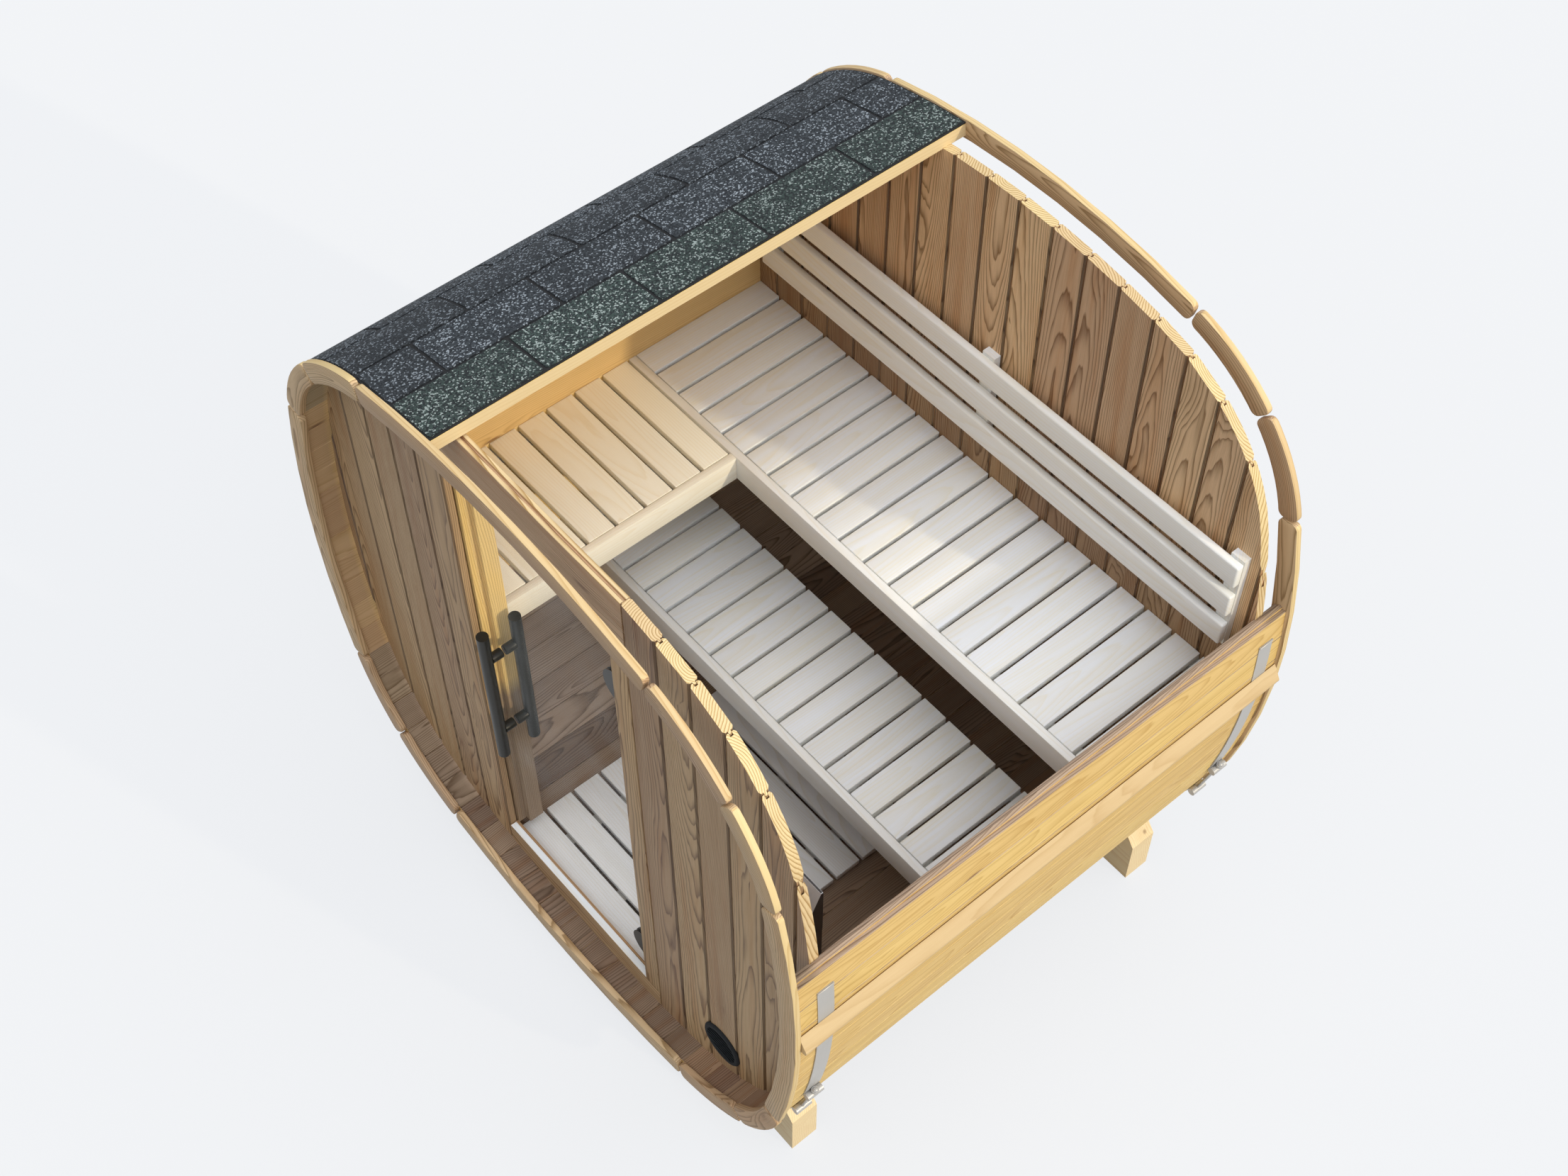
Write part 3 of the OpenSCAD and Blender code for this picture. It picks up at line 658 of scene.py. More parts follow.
class Boards:
    """Boards that share one object, each with a grain place and a tone of its own."""

    def __init__(self, name: str) -> None:
        """Start an empty set of boards.

        Args:
            name: Name of the object, which also seeds the boards' differences.
        """
        self.name = name
        self.random = random.Random(name)
        self.bm = bmesh.new()
        self.bm.verts.layers.float_vector.new("grain")
        self.bm.verts.layers.float.new("tone")
        self.grain = self.bm.verts.layers.float_vector["grain"]
        self.tone = self.bm.verts.layers.float["tone"]

    def island(self, start: Vert) -> list[Vert]:
        """Collect every vertex joined to one vertex."""
        found, queue = {start}, [start]
        while queue:
            vert = queue.pop()
            for edge in vert.link_edges:
                other = edge.other_vert(vert)
                if other not in found:
                    found.add(other)
                    queue.append(other)
        return list(found)

    def mark(self, start: Vert, place: Callable[[Vector], Vector]) -> None:
        """Give one board its grain places and its tone.

        Args:
            start: Any vertex of the board.
            place: Gives a point's place along, across and through the board.
        """
        verts = self.island(start)
        spots = [place(v.co) for v in verts]
        middle = Vector([(min(p[k] for p in spots) + max(p[k] for p in spots)) / 2.0 for k in range(3)])
        pick = self.random.uniform
        pith = Vector((pick(0.0, 60.0), pick(-0.07, 0.07),
                       self.random.choice((-1.0, 1.0)) * pick(0.025, 0.10)))
        lean = Vector((0.0, pick(-0.03, 0.03), pick(-0.05, 0.05)))
        tone = self.random.random()
        for vert, spot in zip(verts, spots):
            rel = spot - middle
            vert[self.grain] = rel + pith + lean * rel.x
            vert[self.tone] = tone

    def ease(self, edges: list[Edge], offset: float, segments: int) -> dict:
        """Round or chamfer edges.

        Args:
            edges: Edges to ease.
            offset: Width of the eased edge.
            segments: Number of faces across it.

        Returns:
            The operator's result.
        """
        return bmesh.ops.bevel(self.bm, geom=edges, offset=offset, segments=segments, profile=0.5,
                               affect="EDGES", material=-1, clamp_overlap=True)

    def whole(self, start: Vert) -> list[object]:
        """Collect the vertices, edges and faces of the board that holds one vertex."""
        board = self.island(start)
        return [*board, *edges_at(board), *faces_at(board)]

    def slices(self, start: Vert, axis: int, levels: Sequence[float]) -> list[Vert]:
        """Cut a board across an axis, so that it can be bent.

        Args:
            start: Any vertex of the board.
            axis: Number of the axis.
            levels: Where it is cut.

        Returns:
            The board's vertices.
        """
        geom = self.whole(start)
        for level in levels:
            spot, normal = Vector(), Vector()
            spot[axis], normal[axis] = level, 1.0
            geom = bmesh.ops.bisect_plane(self.bm, geom=geom, dist=1e-6, plane_co=spot, plane_no=normal)["geom"]
        return self.island(verts_in(geom)[0])

    def box(self, low: Sequence[float], high: Sequence[float], along: int, edge: float,
            segments: int = 2) -> None:
        """Add a straight board with rounded edges.

        Args:
            low: Lowest corner.
            high: Highest corner.
            along: Axis number of its grain.
            edge: Radius of its edges.
            segments: Faces across each rounded edge.
        """
        verts = block(self.bm, Vector(low), Vector(high))
        made = self.ease(edges_at(verts), edge, segments)
        order = ((0, 1, 2), (1, 0, 2), (2, 0, 1))[along]
        self.mark(made["verts"][0], lambda co: Vector([co[a] for a in order]))

    def prism(self, section: Sequence[Vector], run: Vector, along: Vector, across: Vector,
              groove: float) -> None:
        """Add a board of any section, with its long edges chamfered.

        Args:
            section: Corners of the section.
            run: Way from one end of the section to the other.
            along: Direction of the grain.
            across: Direction across the grain.
            groove: Width of the chamfers on the edges that run with the grain.
        """
        board = self.island(extrude(self.bm, section, run)[0])
        edges = [e for e in edges_at(board)
                 if e.calc_length() > 4.0 * groove and e.calc_face_angle(0.0) > SHARP_TURN
                 and abs((e.verts[1].co - e.verts[0].co).normalized().dot(along)) > 0.99]
        made = self.ease(edges, groove, 1)
        through = along.cross(across)
        self.mark(made["verts"][0], lambda co: Vector((co.dot(along), co.dot(across), co.dot(through))))

    def bend(self, centre: Vector, radius: float, width: float, turns: Span, depth: Span, nose: float,
             edge: float) -> None:
        """Add a curved board with rounded ends, lying in the plane across Y.

        Args:
            centre: Centre of its arc.
            radius: Radius of its outer edge.
            width: Width of the board, towards the centre.
            turns: Turns in degrees of its two ends.
            depth: Lowest and highest Y.
            nose: Radius of its end corners in plan.
            edge: Radius of its other edges.
        """
        way = math.radians(turns[0])
        out = Vector((math.cos(way), 0.0, math.sin(way)))
        corners = [centre + out * r + Vector((0.0, y, 0.0))
                   for r, y in ((radius - width, depth[0]), (radius, depth[0]), (radius, depth[1]),
                                (radius - width, depth[1]))]
        face = self.bm.faces.new([self.bm.verts.new(p) for p in corners])
        geom = [*face.verts, *face.edges, face]
        steps = max(3, round(abs(turns[1] - turns[0]) / 4.0))
        made = bmesh.ops.spin(self.bm, geom=geom, cent=centre, axis=(0.0, -1.0, 0.0), dvec=(0.0, 0.0, 0.0),
                              angle=math.radians(turns[1] - turns[0]), steps=steps, use_merge=False,
                              use_normal_flip=False, use_duplicate=False)
        board = self.island(verts_in(made["geom_last"])[0])
        bmesh.ops.recalc_face_normals(self.bm, faces=faces_at(board))
        tall = 0.9 * (depth[1] - depth[0])
        ends = [e for e in edges_at(board)
                if abs(e.verts[1].co.y - e.verts[0].co.y) > tall and e.calc_face_angle(0.0) > SHARP_TURN]
        made = self.ease(ends, nose, 4)
        board = self.island(made["verts"][0])
        made = self.ease([e for e in edges_at(board) if e.calc_face_angle(0.0) > SHARP_TURN], edge, 2)
        middle = math.radians((turns[0] + turns[1]) / 2.0)
        ahead = Vector((-math.sin(middle), 0.0, math.cos(middle)))
        out = Vector((math.cos(middle), 0.0, math.sin(middle)))

        def place(co: Vector) -> Vector:
            """Give a point's place in the straightened board."""
            rel = co - centre
            swing = math.atan2(rel.dot(ahead), rel.dot(out))
            return Vector((swing * radius, math.hypot(rel.x, rel.z) - radius, rel.y))

        self.mark(made["verts"][0], place)

    def piece(self, material: bpy.types.Material, slot: str, body: str, *nodes: str) -> bpy.types.Object:
        """Finish the object and put it on its body.

        Args:
            material: Its material.
            slot: Handed on to settle, where it is not used.
            body: Body that carries it.
            nodes: Nodes that it stands for.

        Returns:
            The object.
        """
        bmesh.ops.recalc_face_normals(self.bm, faces=self.bm.faces[:])
        return settle(self.bm, self.name, material, slot, body, *nodes)


def settle(bm: bmesh.types.BMesh, name: str, material: bpy.types.Material, slot: str, body: str,
           *nodes: str) -> bpy.types.Object:
    """Turn a finished mesh into a piece of the object.

    Args:
        bm: The mesh, which is freed.
        name: Name of the piece.
        material: Its material.
        slot: Not used.
        body: Body that carries it.
        nodes: Nodes that it stands for.

    Returns:
        The piece.
    """
    for face in bm.faces:
        face.smooth = True
    mesh = bpy.data.meshes.new(name)
    bm.to_mesh(mesh)
    bm.free()
    mesh.set_sharp_from_angle(angle=math.radians(SMOOTH_UP_TO))
    mesh.materials.append(material)
    piece = bpy.data.objects.new(name, mesh)
    bpy.context.scene.collection.objects.link(piece)
    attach(piece, body)
    if nodes:
        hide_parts(*nodes)
    LOG.info("made %s: %d faces", name, len(mesh.polygons))
    return piece


def dress(material: bpy.types.Material, *nodes: str) -> None:
    """Put a material on nodes that keep their own shape.

    Args:
        material: The material.
        nodes: Names of the nodes.
    """
    for node in nodes:
        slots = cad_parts[node].data.materials
        slots.clear()
        slots.append(material)
        LOG.info("dressed %s", node)


def repaint(piece: bpy.types.Object, materials: Sequence[bpy.types.Material],
            choose: Callable[[bpy.types.MeshPolygon], int]) -> None:
    """Give some faces of a piece other materials.

    Args:
        piece: The piece.
        materials: Its further materials.
        choose: Gives the number of a face's material, with 0 for the piece's first one.
    """
    for material in materials:
        piece.data.materials.append(material)
    for face in piece.data.polygons:
        face.material_index = choose(face)


def turned_ring(bm: bmesh.types.BMesh, profile: Sequence[Span], centre: Vector, steps: int = 32) -> None:
    """Turn a closed profile about a line along Y.

    Args:
        bm: Mesh to add to.
        profile: Radius and Y of each corner of the profile.
        centre: A point on the line.
        steps: Steps of the turn.
    """
    verts = [bm.verts.new(centre + Vector((r, y, 0.0))) for r, y in profile]
    edges = [bm.edges.new((a, b)) for a, b in zip(verts, verts[1:] + verts[:1])]
    bmesh.ops.spin(bm, geom=[*verts, *edges], cent=centre, axis=(0.0, 1.0, 0.0), dvec=(0.0, 0.0, 0.0),
                   angle=2.0 * math.pi, steps=steps, use_merge=True, use_normal_flip=False,
                   use_duplicate=False)


@dataclass
class BarrelStaves:
    """Staves of the barrel, left off at the upper right.

    Attributes:
        outline: Shape of the barrel.
        finish: Finish of the staves.
        linings: Finish of the inner faces by stretch, mostly darker copies of the stave wood as painted shade.
        cut_finish: Finish of the sawn edge of the roof.
        outer: Inset of their outer face.
        inner: Inset of their inner face.
        half_length: Half of their length.
        width: Usual width of a stave.
        right_top: Height at which the right wall stops.
        roof_cut: X at which the roof stops.
        groove: Width of the chamfers along each stave.
        slack: Share of a stave's width that is left free at each joint.
        tongue: Height of the tongue on the right wall's top edge.
        tongue_half: Half of the tongue's thickness.
        tongue_root: How far the tongue reaches into the stave below it.
        tongue_edge: Chamfer of the tongue's edges.
    """

    outline: Outline
    finish: WoodFinish
    linings: dict[str, WoodFinish]
    cut_finish: WoodFinish
    outer: float = 0.012
    inner: float = 0.050
    half_length: float = 0.817
    width: float = 0.100
    right_top: float = 1.333
    roof_cut: float = -0.254
    groove: float = 0.0016
    slack: float = 0.003
    tongue: float = 0.007
    tongue_half: float = 0.006
    tongue_root: float = 0.002
    tongue_edge: float = 0.001

    def stretches(self) -> dict[str, Span]:
        """List the stretches of staves, from the right wall's top down and round to the roof.

        Returns:
            First and last turn of each stretch by the node that it stands for.
        """
        span = self.outline.side_r - self.outer
        top = math.degrees(math.asin((self.right_top - self.tongue - self.outline.axis_h) / span))
        roof = math.degrees(math.asin(-self.roof_cut / span))
        bend = self.outline.tangent
        return {
            "right_staves": (top, -bend),
            "bottom_right_staves": (-bend, bend - 90.0),
            "bottom_staves": (bend - 90.0, -90.0 - bend),
            "bottom_left_staves": (-90.0 - bend, bend - 180.0),
            "left_staves": (bend - 180.0, -180.0 - bend),
            "top_left_staves": (-180.0 - bend, bend - 270.0),
            "roof_staves": (bend - 270.0, roof - 270.0),
        }

    def build(self) -> None:
        """Make the staves of every stretch."""
        material, cut = self.finish.material(), self.cut_finish.material()
        for node, (first, last) in self.stretches().items():
            boards = Boards(node.replace("staves", "stave_boards"))
            start, end = self.outline.run_to(first, self.outer), self.outline.run_to(last, self.outer)
            count = max(1, round(abs(end - start) / self.width))
            step = (end - start) / count
            for number in range(count):
                first_run = start + step * (number + self.slack)
                last_run = start + step * (number + 1.0 - self.slack)
                self.stave(boards, self.outline.turn_at(first_run, self.outer),
                           self.outline.turn_at(last_run, self.outer))
            if node == "right_staves":
                self.edge_tongue(boards, first)
            piece = boards.piece(material, "stave_wood", "frame", node)
            repaint(piece, (self.linings[node].material(), cut), lambda face: self.side(node, face))

    def side(self, node: str, face: bpy.types.MeshPolygon) -> int:
        """Tell the sides of a stave apart.

        Args:
            node: Node that the stretch stands for.
            face: Face of a stave.

        Returns:
            0 for the outside, 1 for the inside and the right wall's top, 2 for the roof's sawn edge.
        """
        if node == "roof_staves" and face.normal.x > FACING:
            return 2
        inward = Vector((-face.center.x, 0.0, self.outline.axis_h - face.center.z))
        inside = face.normal.dot(inward) > 0.1 * inward.length
        return int(inside or (node == "right_staves" and face.normal.z > FACING))

    def stave(self, boards: Boards, first: float, last: float) -> None:
        """Add one stave between two turns in degrees."""
        section = [self.outline.spot(first, self.outer), self.outline.spot(last, self.outer),
                   self.outline.spot(last, self.inner), self.outline.spot(first, self.inner)]
        length = Vector((0.0, self.half_length, 0.0))
        across = (section[1] - section[0]).normalized()
        along = Vector((0.0, 1.0, 0.0))
        boards.prism([corner - length for corner in section], 2.0 * length, along, across, self.groove)

    def edge_tongue(self, boards: Boards, turn: float) -> None:
        """Add the tongue on the top edge of the right wall, at a turn in degrees."""
        middle = self.outline.spot(turn, (self.outer + self.inner) / 2.0)
        low = middle - Vector((self.tongue_half, self.half_length, self.tongue_root))
        high = middle + Vector((self.tongue_half, self.half_length, self.tongue))
        boards.box(low, high, 1, self.tongue_edge, 1)


@dataclass
class TrimRings:
    """Trim ring at each end of the barrel: four side boards and eight corner boards.

    Attributes:
        outline: Shape of the barrel.
        finish: Finish of the boards' faces.
        edge_light_finish: Lighter finish of their outer edges, a painted highlight.
        width: Width of the boards.
        depth: Thickness of the boards.
        face: Distance of the outer faces from the middle.
        nose: Radius of the boards' end corners.
        edge: Radius of the other edges.
        gap: Gap at each joint.
    """

    outline: Outline
    finish: WoodFinish
    edge_light_finish: WoodFinish
    width: float = 0.060
    depth: float = 0.019
    face: float = 0.836
    nose: float = 0.018
    edge: float = 0.003
    gap: float = 0.0038

    def build(self) -> None:
        """Make both rings."""
        material, edges = self.finish.material(), self.edge_light_finish.material()
        inner = self.face - self.depth
        for end, depth in (("front", (-self.face, -inner)), ("rear", (inner, self.face))):
            sides, corners = Boards(f"{end}_ring_long_boards"), Boards(f"{end}_ring_short_boards")
            for quarter in (0.0, 90.0, 180.0, 270.0):
                self.board(sides, quarter, -self.outline.tangent, self.outline.tangent, depth)
                self.board(corners, quarter, self.outline.tangent, 45.0, depth)
                self.board(corners, quarter, 45.0, 90.0 - self.outline.tangent, depth)
            for boards, part in ((sides, "sides"), (corners, "corners")):
                piece = boards.piece(material, "ring_wood", "frame", f"{end}_ring_{part}")
                repaint(piece, (edges,), self.outside)

    def outside(self, face: bpy.types.MeshPolygon) -> int:
        """Give 1 for a face on the outer edge of a board, which takes the painted highlight, and else 0."""
        outward = Vector((face.center.x, 0.0, face.center.z - self.outline.axis_h))
        return int(face.normal.dot(outward) > 0.8 * outward.length)

    def board(self, boards: Boards, quarter: float, first: float, last: float, depth: Span) -> None:
        """Add one board of a ring.

        Args:
            boards: Set that it joins.
            quarter: Turn of its quarter of the ring.
            first: Turn of its first end within the quarter.
            last: Turn of its last end within the quarter.
            depth: Lowest and highest Y.
        """
        centre, radius = self.outline.arc(quarter + (first + last) / 2.0)
        slack = math.degrees(self.gap / radius)
        turns = (quarter + first + slack, quarter + last - slack)
        boards.bend(centre, radius, self.width, turns, depth, self.nose, self.edge)


@dataclass
class EndWalls:
    """Tongued and grooved end walls, with the doorway's frame in the front one.

    Attributes:
        outline: Shape of the barrel.
        finish: Finish of the front wall, the sill and the right jamb.
        back_lit_finish: Finish of the back wall and the header, a lighter copy of the front wall's wood as
            painted light.
        end_finish: Finish of the boards' sawn ends.
        jamb_light_finish: Finish of the left jamb, a golden copy of the wall wood as painted sunlight, with
            painted shade on its lower part.
        seat_shade_finish: Finish of the back wall's inner face, its lighter wood with painted shade below 1.2
            m.
        joint_shade_finish: Finish of the joints' chamfers, darker than the boards: painted shade in the
            grooves, with some weathering.
        inset: Inset of their edge from the ring.
        front: Lowest and highest Y of the front wall.
        back: Lowest and highest Y of the back wall.
        pitch: Width of a board.
        joint: X of one joint of the back wall.
        left: X of the left panel's inner edge.
        right: X of the right panel's inner edge.
        groove: Width of the chamfers along each board.
        gap: Half of the gap at each joint.
        tongue: Length of a tongue, and half of its thickness at its root and at its tip.
        slot: Depth of a groove, and half of its width.
        head_slot: Depth of the groove in the header's top edge, and half of its width.
        head_edge: Chamfer of the header's long edges.
        jamb_edge: Radius of the right jamb's edges.
        slip: Most that a board's ends fall short of the outline.
        steep: Distance from the middle beyond which an end is sawn in several cuts.
        cuts: Number of those cuts.
    """

    outline: Outline
    finish: WoodFinish
    back_lit_finish: WoodFinish
    end_finish: WoodFinish
    jamb_light_finish: WoodFinish
    seat_shade_finish: WoodFinish
    joint_shade_finish: WoodFinish
    inset: float = 0.0443
    front: Span = (-0.748, -0.720)
    back: Span = (0.738, 0.766)
    pitch: float = 0.1155
    joint: float = -0.206
    left: float = -0.368
    right: float = 0.345
    groove: float = 0.0045
    gap: float = 0.0017
    tongue: Place = (0.0065, 0.0038, 0.0033)
    slot: Span = (0.0075, 0.0045)
    head_slot: Span = (0.008, 0.004)
    head_edge: float = 0.0012
    jamb_edge: float = 0.0015
    slip: float = 0.0016
    steep: float = 0.80
    cuts: int = 5

    def build(self) -> None:
        """Make the walls and the doorway's frame."""
        material = self.finish.material()
        edge = self.outline.half - self.inset
        self.panel("front_wall_left", (-edge, self.left), self.left, self.front, material)
        self.panel("front_wall_right", (self.right, edge), self.right, self.front, material)
        self.panel("back_wall", (-edge, edge), self.joint, self.back, self.back_lit_finish.material())
        self.header(self.back_lit_finish.material())
        jamb = Boards("right_jamb_board")
        jamb.box(*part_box("door_jamb_right"), 2, self.jamb_edge)
        jamb.piece(material, "wall_wood", "frame", "door_jamb_right")
        dress(self.finish.material(Grain.ALONG_X), "door_sill")
        dress(self.jamb_light_finish.material(Grain.ALONG_Z), "door_jamb_left")

    def header(self, material: bpy.types.Material) -> None:
        """Make the board over the doorway, with the groove that the next board's tongue would fill, in the back
        wall's lighter wood, which is painted light.
        """
        low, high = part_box("door_header")
        deep, half = self.head_slot
        middle, bottom = (low.y + high.y) / 2.0, high.z - deep
        corners = ((low.y, low.z), (high.y, low.z), (high.y, high.z), (middle + half, high.z),
                   (middle + half, bottom), (middle - half, bottom), (middle - half, high.z), (low.y, high.z))
        boards = Boards("header_board")
        along, upright = Vector((1.0, 0.0, 0.0)), Vector((0.0, 0.0, 1.0))
        boards.prism([Vector((low.x, y, z)) for y, z in corners], (high.x - low.x) * along, along, upright,
                     self.head_edge)
        piece = boards.piece(material, "wall_wood", "frame", "door_header")
        level = high.z - 0.5 * deep
        repaint(piece, (self.end_finish.material(),),
                lambda face: int(face.normal.z > FACING and face.center.z > level))

    def panel(self, node: str, span: Span, joint: float, depth: Span, material: bpy.types.Material) -> None:
        """Make one panel of upright boards.

        Args:
            node: Node that it stands for.
            span: Lowest and highest X of the panel.
            joint: X of one of its joints.
            depth: Lowest and highest Y.
            material: Its material.
        """
        boards = Boards(f"{node}_boards")
        low, high = span
        first = joint + self.pitch * math.ceil((low - joint) / self.pitch + 0.05)
        joints = [first + self.pitch * number for number in range(20)]
        cuts = [low, *(x for x in joints if x < high - 0.004), high]
        for start, end in zip(cuts, cuts[1:]):
            self.board(boards, (start + self.gap, end - self.gap), (start > low, end < high), depth)
        piece = boards.piece(material, "wall_wood", "frame", node)
        others = [self.end_finish.material(), self.joint_shade_finish.material()]
        if node == "back_wall":
            others.append(self.seat_shade_finish.material())
        repaint(piece, others, lambda face: self.side(node, face))

    def side(self, node: str, face: bpy.types.MeshPolygon) -> int:
        """Tell the sides of a board apart.

        Args:
            node: Node that the panel stands for.
            face: Face of a board.

        Returns:
            1 for a sawn end, 2 for a joint's chamfer, 3 for the back wall's inner face, and else 0.
        """
        if 0.4 < abs(face.normal.y) < 0.9 and abs(face.normal.z) < 0.2:
            return 2
        if node == "back_wall" and face.normal.y < -0.5:
            return 3
        rise, away = abs(face.center.z - self.outline.axis_h), abs(face.center.x)
        above = abs(rise - self.outline.reach(away, self.inset))
        beside = abs(away - self.outline.reach(rise, self.inset))
        return int(min(above, beside) < 0.006 and abs(face.normal.y) < 0.5)

    def board(self, boards: Boards, span: Span, joined: tuple[bool, bool], depth: Span) -> None:
        """Add one upright board, tongued and grooved, whose ends follow the barrel.

        Args:
            boards: Set that it joins.
            span: Lowest and highest X.
            joined: Whether it has a groove on its low side and a tongue on its high side.
            depth: Lowest and highest Y.
        """
        (low, high), (near, far), cut = span, depth, self.groove
        middle = (near + far) / 2.0
        corners = [(low + cut, near), (high - cut, near), (high, near + cut)]
        if joined[1]:
            long, root, tip = self.tongue
            corners += [(high, middle - root), (high + long, middle - tip), (high + long, middle + tip),
                        (high, middle + root)]
        corners += [(high, far - cut), (high - cut, far), (low + cut, far), (low, far - cut)]
        if joined[0]:
            deep, half = self.slot
            corners += [(low, middle + half), (low + deep, middle + half), (low + deep, middle - half),
                        (low, middle - half)]
        corners += [(low, near + cut)]
        tall = self.outline.half
        bottom = self.outline.axis_h - tall
        verts = extrude(boards.bm, [(x, y, bottom) for x, y in corners], (0.0, 0.0, 2.0 * tall))
        start = self.trim(boards, verts[0], span)
        boards.mark(start, lambda co: Vector((co.z, co.x, co.y)))

    def trim(self, boards: Boards, start: Vert, span: Span) -> Vert:
        """Saw both ends of a board to the barrel's outline.

        Args:
            boards: Set that the board belongs to.
            start: Any vertex of the board.
            span: Lowest and highest X of the board.

        Returns:
            A vertex of the sawn board.
        """
        parts = self.cuts if max(abs(span[0]), abs(span[1])) > self.steep else 1
        slip = boards.random.uniform(0.0, self.slip)
        for end in (1.0, -1.0):
            for part in range(parts):
                first, last = (span[0] + (span[1] - span[0]) * (part + k) / parts for k in (0, 1))
                reaches = [self.outline.reach(x, self.inset) - slip for x in (first, last)]
                heights = [self.outline.axis_h + end * reach for reach in reaches]
                normal = Vector((heights[0] - heights[1], 0.0, last - first)).normalized() * end
                made = bmesh.ops.bisect_plane(boards.bm, geom=boards.whole(start), dist=1e-7,
                                              plane_co=(first, 0.0, heights[0]), plane_no=normal,
                                              clear_outer=True)
                edges = [g for g in made["geom_cut"] if isinstance(g, Edge)]
                bmesh.ops.edgeloop_fill(boards.bm, edges=edges)
                start = edges[0].verts[0]
        return start


@dataclass
class Benches:
    """Slatted benches, backrest and floor, taken from the boxes of the nodes they stand for.

    Attributes:
        finish: Finish of the upper and lower benches' slats, the sill's strip and the posts.
        side_finish: Finish of the side bench's slats and rail.
        floor_finish: Finish of the floor.
        rail_finish: Finish of the other rails and the backrest.
        bearer_finish: Finish of the bearers.
        lower_cut: Width that is cut off the lower bench's first slat.
        pitch: Distance from slat to slat.
        width: Width of a slat.
        edge: Radius of the slats' edges.
        line: Gap between a rail and the slats' ends.
        least: Narrowest slat that is laid.
        trim: How much is taken off the lower edge of the backrest's slats.
        rail_edge: Radius of the rails' edges.
        back_pitch: Distance from slat to slat of the backrest.
        back_height: Height of a backrest slat's solid.
        back_edge: Radius of the backrest slats' edges.
        strip: Thickness of the strip on the sill.
        strip_in: How far the strip lies inside the sill's left and right end, its front and its back.
    """

    finish: WoodFinish
    side_finish: WoodFinish
    floor_finish: WoodFinish
    rail_finish: WoodFinish
    bearer_finish: WoodFinish
    lower_cut: float = 0.021
    pitch: float = 0.102
    width: float = 0.0895
    edge: float = 0.0022
    line: float = 0.0022
    least: float = 0.012
    trim: float = 0.010
    rail_edge: float = 0.0025
    back_pitch: float = 0.119
    back_height: float = 0.090
    back_edge: float = 0.006
    strip: float = 0.001
    strip_in: Place = (0.002, 0.001, 0.008)

    def build(self) -> None:
        """Make the slats and rails and dress what carries them."""
        material = self.finish.material()
        warm = self.side_finish.material()
        cream = self.rail_finish.material()
        for bench, across, forward, cut, skin in (("upper_bench", 0, True, 0.0, material),
                                                  ("side_bench", 1, False, 0.0, warm),
                                                  ("lower_bench", 0, True, self.lower_cut, material)):
            self.slats(f"{bench}_slats", across, forward, cut, skin)
            rail = Boards(f"{bench}_front_rail")
            low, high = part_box(f"{bench}_rail")
            if forward:
                high.y -= self.line
            else:
                low.x += self.line
            rail.box(low, high, across, self.rail_edge)
            rail.piece(cream if forward else warm, "bench_wood", "frame", f"{bench}_rail")
        self.slats("floor_slats", 1, True, 0.0, self.floor_finish.material())
        self.backrest(cream)
        self.threshold(material)
        dress(self.bearer_finish.material(Grain.ALONG_X), "bench_bearers", "floor_bearers")
        dress(self.finish.material(Grain.ALONG_Z), "backrest_posts")

    def threshold(self, material: bpy.types.Material) -> None:
        """Make the pale strip on the doorway's sill."""
        low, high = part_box("door_sill")
        ends, front, back = self.strip_in
        boards = Boards("threshold_strip")
        first = (low.x + ends, low.y + front, high.z)
        last = (high.x - ends, high.y - back, high.z + self.strip)
        boards.box(first, last, 0, 0.4 * self.strip, 1)
        boards.piece(material, "bench_wood", "frame")

    def slats(self, node: str, across: int, forward: bool, cut: float, material: bpy.types.Material) -> None:
        """Make the slats of one bench.

        Args:
            node: Node that they stand for.
            across: Axis number along which they are set out.
            forward: Whether they are set out from the lowest end.
            cut: Width that is cut off the first slat.
            material: Their material.
        """
        low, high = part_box(node)
        boards = Boards(node.replace("slats", "slat_boards"))
        count = math.ceil((high[across] - low[across] + cut - self.least) / self.pitch)
        for number in range(count):
            start = low[across] - cut + self.pitch * number
            if not forward:
                start = high[across] - self.width - self.pitch * number
            first, last = low.copy(), high.copy()
            first[across] = max(start, low[across])
            last[across] = min(start + self.width, high[across])
            boards.box(first, last, 1 - across, min(self.edge, 0.3 * (last[across] - first[across])), 3)
        boards.piece(material, "bench_wood", "frame", node)

    def backrest(self, material: bpy.types.Material) -> None:
        """Make the three slats of the backrest."""
        low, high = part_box("backrest_slats")
        boards = Boards("backrest_slat_boards")
        for number in range(3):
            first, last = low.copy(), high.copy()
            last.z = low.z + self.back_pitch * number + self.back_height
            first.z = last.z - self.back_height + self.trim
            boards.box(first, last, 0, self.back_edge, 4)
        boards.piece(material, "bench_wood", "frame", "backrest_slats")


